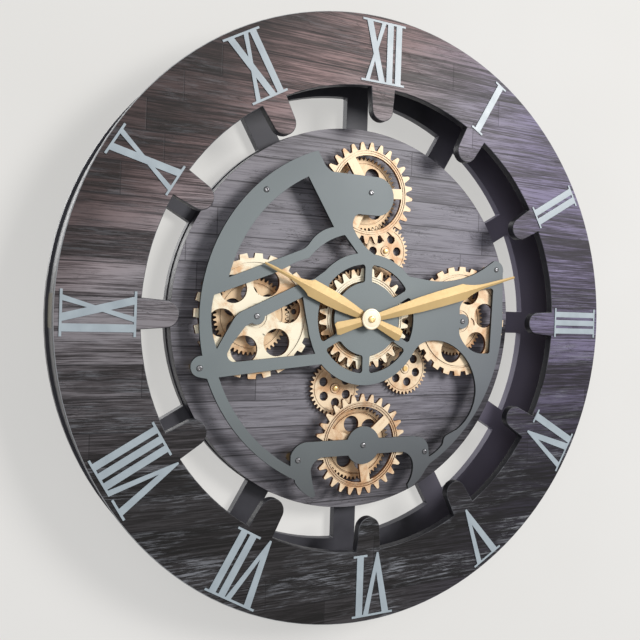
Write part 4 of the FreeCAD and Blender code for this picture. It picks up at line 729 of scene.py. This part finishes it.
def turned_piece(node, name, places, profile, material, steps=48, corners=()):
    """The same turned form at each place, with its profile in millimetres."""
    work = bmesh.new()
    for x, z in places:
        lathe(work, (x, 0, z), [(radius * MM, y * MM) for radius, y in profile], steps, corners)
    bmesh.ops.recalc_face_normals(work, faces=work.faces)
    replace_node(node, name, mesh_of(work, name), [material])


def paint_node(node, material):
    """A node whose own shape is right, with a finished surface."""
    for slot in NODES[node].material_slots:
        slot.material = material


# Boards, with the width and the steps of their broken edges
def make_boards():
    for node, material, width, segments in (
        ("front_ring", ring_print, 0.0009, 3), ("dial_disc", dial_print, 0.0005, 2),
        ("rear_frame", frame_black, 0.0006, 2), ("gear_plate", slate, 0.00035, 2),
        ("roman_numerals", lacquer, 0.00018, 1),
    ):
        stand_in(node, [material], width, segments)
    for node, material in (
        ("dial_drum", frame_black), ("upper_rim_band", rim_black), ("lower_rim_band", rim_black),
        ("left_joint_block", fibre_board), ("right_joint_block", fibre_board),
    ):
        paint_node(node, material)


# Gears, with their grooves as inner radius, outer radius and depth, in millimetres
TOOTHED_GROOVES = ((41.9, 43.1, 0.8), (39.7, 40.7, 0.7), (11.6, 12.7, 0.6))
SIDE_GROOVES = ((48.9, 51.0, 1.0), (10.4, 11.8, 0.7))
CENTRE_FINE_GROOVES = ((45.8, 47.0, 0.7),)
FINE_GROOVES = ((30.8, 31.9, 0.7),)
SMALL_GROOVES = ((22.7, 23.3, 0.5), (5.0, 5.5, 0.4))
SMALL_FACE = -30.0 * MM
PINION_GROOVES = ((13.2, 13.7, 0.5),)
SIDE_SLITS = {
    "left": ((24.5, 90), (23.0, -3), (23.0, -63)),
    "right": ((17.0, 0), (17.0, 118)),
}


def gear_paint(node, centre):
    light, deep = ROSE
    if node.endswith("bush"):
        light, deep = PALE_ROSE
    elif node in ("left_show_gear", "centre_show_gear"):
        light, deep = CREAM
    # Painted shade: the fine gears lie behind the show gears.
    elif node.endswith("fine_gear"):
        light, deep = SHADED_FINE_ROSE
    return rose_paint(node + "_paint", centre, light, deep, float(len(node)))


def make_gear(node, width, centre, grooves, slits=(), face=None):
    stand_in(node, [gear_paint(node, centre), groove_brown], width, 1, centre, grooves, slits, face)


def make_gears():
    for side in ("top", "bottom", "centre", "left", "right"):
        bush = side + "_gear_bush"
        centre = centre_of(bush)
        slits = SIDE_SLITS.get(side, ())
        make_gear(side + "_show_gear", 0.0005, centre, SIDE_GROOVES if slits else TOOTHED_GROOVES, slits)
        fine_grooves = CENTRE_FINE_GROOVES if side == "centre" else FINE_GROOVES
        make_gear(side + "_fine_gear", 0.0004, centre, fine_grooves)
        stand_in(bush, [gear_paint(bush, centre)], width=0.0004, segments=2)
    for node in ("upper_small_gear", "lower_small_gear", "drive_gear"):
        make_gear(node, 0.0002, centre_of(node), SMALL_GROOVES, face=SMALL_FACE)
    for node in ("left_pinion", "right_pinion"):
        make_gear(node, 0.0002, centre_of(node), PINION_GROOVES)


# Hands: shares of the length along and of the width across
HOUR_SHAPE = (
    (-0.330, 0.300), (-0.300, 0.380), (0.000, 0.190), (0.090, 0.255), (0.175, 0.345),
    (0.275, 0.430), (0.400, 0.490), (0.575, 0.500), (0.590, 0.400), (0.620, 0.310),
    (0.660, 0.230), (0.710, 0.150), (0.790, 0.110), (0.920, 0.090), (1.000, 0.055),
)
MINUTE_SHAPE = (
    (-0.212, 0.300), (-0.195, 0.380), (0.000, 0.190), (0.185, 0.335), (0.320, 0.445),
    (0.460, 0.490), (0.630, 0.500), (0.645, 0.420), (0.675, 0.320), (0.710, 0.230),
    (0.745, 0.165), (0.790, 0.130), (0.900, 0.100), (1.000, 0.070),
)
HAND_WIDTH = 0.0175
HAND_THICKNESS = 0.001
HAND_EDGE_SHARE = 0.55
FULL_RIDGE_SHARE = 0.4
HAND_SMOOTH_DEGREES = 12
HUB_RADIUS = 0.0085
HUB_BORE = HUB_RADIUS * 0.3
HUB_FRONT = HUB_RADIUS * 0.94
HUB_EDGE_SHARE = 0.6
HUB_STEPS = 48

# Profiles of the cap and the nut: radius and depth in millimetres
CAP_PROFILE = (
    (1.9, -52.5), (10.4, -52.5), (10.8, -52.9), (10.8, -53.7), (10.5, -54.1), (10.0, -54.3),
    (8.9, -54.3), (8.7, -54.15), (8.3, -54.15), (8.1, -54.3), (1.9, -54.3), (1.9, -52.5),
)
NUT_PROFILE = (
    (0, -54.3), (3.5, -54.3), (3.5, -55.6), (3.2, -56.0),
    (2.4, -56.3), (1.5, -56.3), (1.4, -56.0), (0, -56.0),
)


def hand_mesh(name, shape, length, degrees, back, rise):
    """Pressed hand: two faces that meet in a ridge along its middle, and a round hub."""
    work = bmesh.new()
    rows = []
    for along_share, across_share in shape:
        along = along_share * length
        half = across_share * HAND_WIDTH
        edge = back - HAND_THICKNESS * HAND_EDGE_SHARE
        crest = back - HAND_THICKNESS - rise * min(1.0, half / (FULL_RIDGE_SHARE * HAND_WIDTH))
        rows.append([
            work.verts.new((-half, back, along)), work.verts.new((-half, edge, along)),
            work.verts.new((0.0, crest, along)), work.verts.new((half, edge, along)),
            work.verts.new((half, back, along)),
        ])
    for first, second in zip(rows, rows[1:]):
        for index in range(len(first) - 1):
            work.faces.new((first[index], first[index + 1], second[index + 1], second[index]))
        work.faces.new((first[-1], first[0], second[0], second[-1]))
    work.faces.new(list(reversed(rows[0])))
    work.faces.new(rows[-1])
    front = back - HAND_THICKNESS
    lathe(work, (0, 0, 0), [
        (HUB_BORE, back), (HUB_RADIUS, back), (HUB_RADIUS, back - HAND_THICKNESS * HUB_EDGE_SHARE),
        (HUB_FRONT, front), (HUB_BORE, front), (HUB_BORE, back),
    ], HUB_STEPS)
    bmesh.ops.recalc_face_normals(work, faces=work.faces)
    bmesh.ops.rotate(work, verts=work.verts, matrix=Matrix.Rotation(math.radians(degrees), 3, "Y"))
    return mesh_of(work, name, HAND_SMOOTH_DEGREES)


def make_hands():
    """Hands at the photograph's time: length, degrees clockwise from twelve, depth of the back, ridge."""
    for node, shape, length, degrees, back, rise in (
        ("hour_hand", HOUR_SHAPE, 0.1245, 293.9, -0.049, 0.0010),
        ("minute_hand", MINUTE_SHAPE, 0.1895, 74.4, -0.0515, 0.0012),
    ):
        name = node + "_pressed"
        replace_node(node, name, hand_mesh(name, shape, length, degrees, back, rise), [hand_gold])
    turned_piece("hand_cap", "hand_cap_turned", [(0, 0)], CAP_PROFILE, cap_gold, 96)
    turned_piece("cap_nut", "cap_nut_turned", [(0, 0)], NUT_PROFILE, brass)


# Screws, pins and the hidden works; the profiles are radius and depth in millimetres
SCREW_PROFILE = (
    (0, -34.0), (1.5, -34.0), (1.5, -45.0), (2.8, -45.0), (2.8, -45.3), (2.55, -45.9), (1.9, -46.3),
    (1.25, -46.4), (1.05, -46.3), (1.05, -45.6), (0, -45.5),
)
SCREW_SOCKET_POINTS = (8, 9)
PIN_PROFILE = (
    (0, -19.5), (2.0, -19.5), (2.0, -31.1), (2.6, -31.1),
    (2.6, -31.9), (2.3, -32.4), (1.5, -32.7), (0, -32.75),
)


def loose_parts(node):
    """Middle across and up of each separate solid of a node."""
    work = node_bmesh(node)
    left = set(work.verts)
    centres = []
    while left:
        seed = left.pop()
        group = [seed]
        stack = [seed]
        while stack:
            here = stack.pop()
            for edge in here.link_edges:
                other = edge.other_vert(here)
                if other in left:
                    left.discard(other)
                    group.append(other)
                    stack.append(other)
        across = [vertex.co.x for vertex in group]
        up = [vertex.co.z for vertex in group]
        centres.append(((min(across) + max(across)) / 2, (min(up) + max(up)) / 2))
    work.free()
    return sorted(centres)


def make_fixings():
    for node, name, profile, material, corners in (
        ("plate_screws", "plate_screws_domed", SCREW_PROFILE, screw_steel, SCREW_SOCKET_POINTS),
        ("small_gear_pins", "gear_pins_domed", PIN_PROFILE, brass, ()),
    ):
        turned_piece(node, name, loose_parts(node), profile, material, corners=corners)
    stand_in("movement_nut", [brass], width=0.0004, segments=2)
    for material, nodes in (
        (brass, ("plate_posts", "gear_axles", "small_gear_washers")),
        (brass, ("threaded_stem", "minute_arbor", "motor_shaft")),
        (steel, ("hanger_plate", "hanger_screws", "frame_screws", "motor_screws")),
        (sleeve_paint, ("movement_cell", "drive_cells")),
        (plastic, ("hour_pipe", "switch_body", "switch_lever", "gear_motor", "battery_box")),
    ):
        for node in nodes:
            paint_node(node, material)
    stand_in("movement_case", [plastic], width=0.0006, segments=2)
    stand_in("setting_knob", [plastic], width=0.0005, segments=2)
    stand_in("battery_cover", [plastic], width=0.0004, segments=2)


# Stage and light
WALL_BACK = 0.0012
WALL_TOP = 2.4
WALL_FOOT = -1.10
WALL_HALF_WIDTH = 4.0
BEND_RADIUS = 0.4
BEND_STEPS = 8
WALL_SMOOTH_DEGREES = 60
FLOOR_FRONT = -4.0
WALL_GLOW_SHARE = 0.62
BACKDROP_COLOUR = (0.80, 0.79, 0.77, 1)
ROOM_COLOUR = (0.93, 0.96, 1.0, 1)
ROOM_STRENGTH = 0.25


def wall_mesh():
    """Wall that bends forward into a floor, with its faces to the front."""
    rows = [(WALL_BACK, WALL_TOP), (WALL_BACK, WALL_FOOT)]
    for step in range(1, BEND_STEPS + 1):
        angle = math.radians(90 * step / BEND_STEPS)
        y = WALL_BACK - BEND_RADIUS * (1 - math.cos(angle))
        rows.append((y, WALL_FOOT - BEND_RADIUS * math.sin(angle)))
    rows.append((FLOOR_FRONT, WALL_FOOT - BEND_RADIUS))
    work = bmesh.new()
    loops = [[work.verts.new((x, y, z)) for x in (-WALL_HALF_WIDTH, WALL_HALF_WIDTH)] for y, z in rows]
    for first, second in zip(loops, loops[1:]):
        work.faces.new((first[0], second[0], second[1], first[1]))
    return mesh_of(work, "wall_and_floor", WALL_SMOOTH_DEGREES)


def add_stage():
    """Pale wall that the clock hangs on. Only the camera sees it, and only from the front."""
    paint = Paint("wall_paint", Specular_IOR_Level=0.2)
    cloud = paint.noise(paint.place, scale=2.0, detail=3.0)
    grain = paint.noise(paint.place, scale=500.0, detail=3.0)
    colour = paint.cloudy(cloud, (0.80, 0.79, 0.765), (0.84, 0.83, 0.81))
    paint.finish(colour, 0.8, grain, distance=0.0001, strength=0.2)
    camera_ray = Value(paint, paint.add("ShaderNodeLightPath").outputs["Is Camera Ray"])
    behind = Value(paint, paint.add("ShaderNodeNewGeometry").outputs["Backfacing"])
    clear = paint.add("ShaderNodeBsdfTransparent").outputs[0]
    glow = paint.add("ShaderNodeEmission", {"Color": colour, "Strength": 1.0}).outputs[0]
    inputs = {0: WALL_GLOW_SHARE, 1: paint.shader.outputs[0], 2: glow}
    wall = paint.add("ShaderNodeMixShader", inputs).outputs[0]
    mixed = paint.add("ShaderNodeMixShader", {0: camera_ray * (1.0 - behind), 1: clear, 2: wall})
    paint.put(paint.first("OUTPUT_MATERIAL").inputs["Surface"], mixed.outputs[0])
    mesh = wall_mesh()
    mesh.materials.append(paint.material)
    item = bpy.data.objects.new("wall_and_floor", mesh)
    bpy.context.scene.collection.objects.link(item)


def add_world():
    """Room light, with a pale backdrop for the camera and for what gloss and glass show."""
    world = bpy.data.worlds.new("plain_light")
    bpy.context.scene.world = world
    world.use_nodes = True
    tree = Tree(world.node_tree)
    room = tree.first("BACKGROUND")
    room.inputs["Color"].default_value = ROOM_COLOUR
    room.inputs["Strength"].default_value = ROOM_STRENGTH
    backdrop = tree.add("ShaderNodeBackground", {"Color": BACKDROP_COLOUR, "Strength": 1.0})
    ray = tree.add("ShaderNodeLightPath").outputs
    shown = tree.math("MAXIMUM", ray["Is Camera Ray"], ray["Is Glossy Ray"])
    shown = tree.math("MAXIMUM", shown, ray["Is Transmission Ray"])
    mixed = tree.add("ShaderNodeMixShader", {0: shown, 1: room.outputs[0], 2: backdrop.outputs[0]})
    tree.put(tree.first("OUTPUT_WORLD").inputs["Surface"], mixed.outputs[0])


def add_lamp(name, place, width, power, colour=(1, 1, 1)):
    """Square lamp that faces the middle of the clock."""
    data = bpy.data.lights.new(name, "AREA")
    data.shape = "SQUARE"
    data.size = width
    data.energy = power
    data.color = colour
    lamp = bpy.data.objects.new(name, data)
    bpy.context.scene.collection.objects.link(lamp)
    lamp.location = place
    lamp.rotation_euler = Vector(place).to_track_quat("Z", "Y").to_euler()


def add_light():
    add_world()
    add_lamp("window_light", (1.62, -2.30, 0.98), width=1.0, power=68.0, colour=(1.0, 0.98, 0.96))
    add_lamp("room_light", (-1.10, -2.10, 0.95), width=1.4, power=9.0)
    add_lamp("back_light", (-0.8, 1.8, 0.9), width=1.5, power=22.0)
    bpy.context.scene.view_settings.view_transform = "Standard"


add_camera()
make_boards()
make_gears()
make_hands()
make_fixings()
add_stage()
add_light()

bpy.context.view_layer.update()
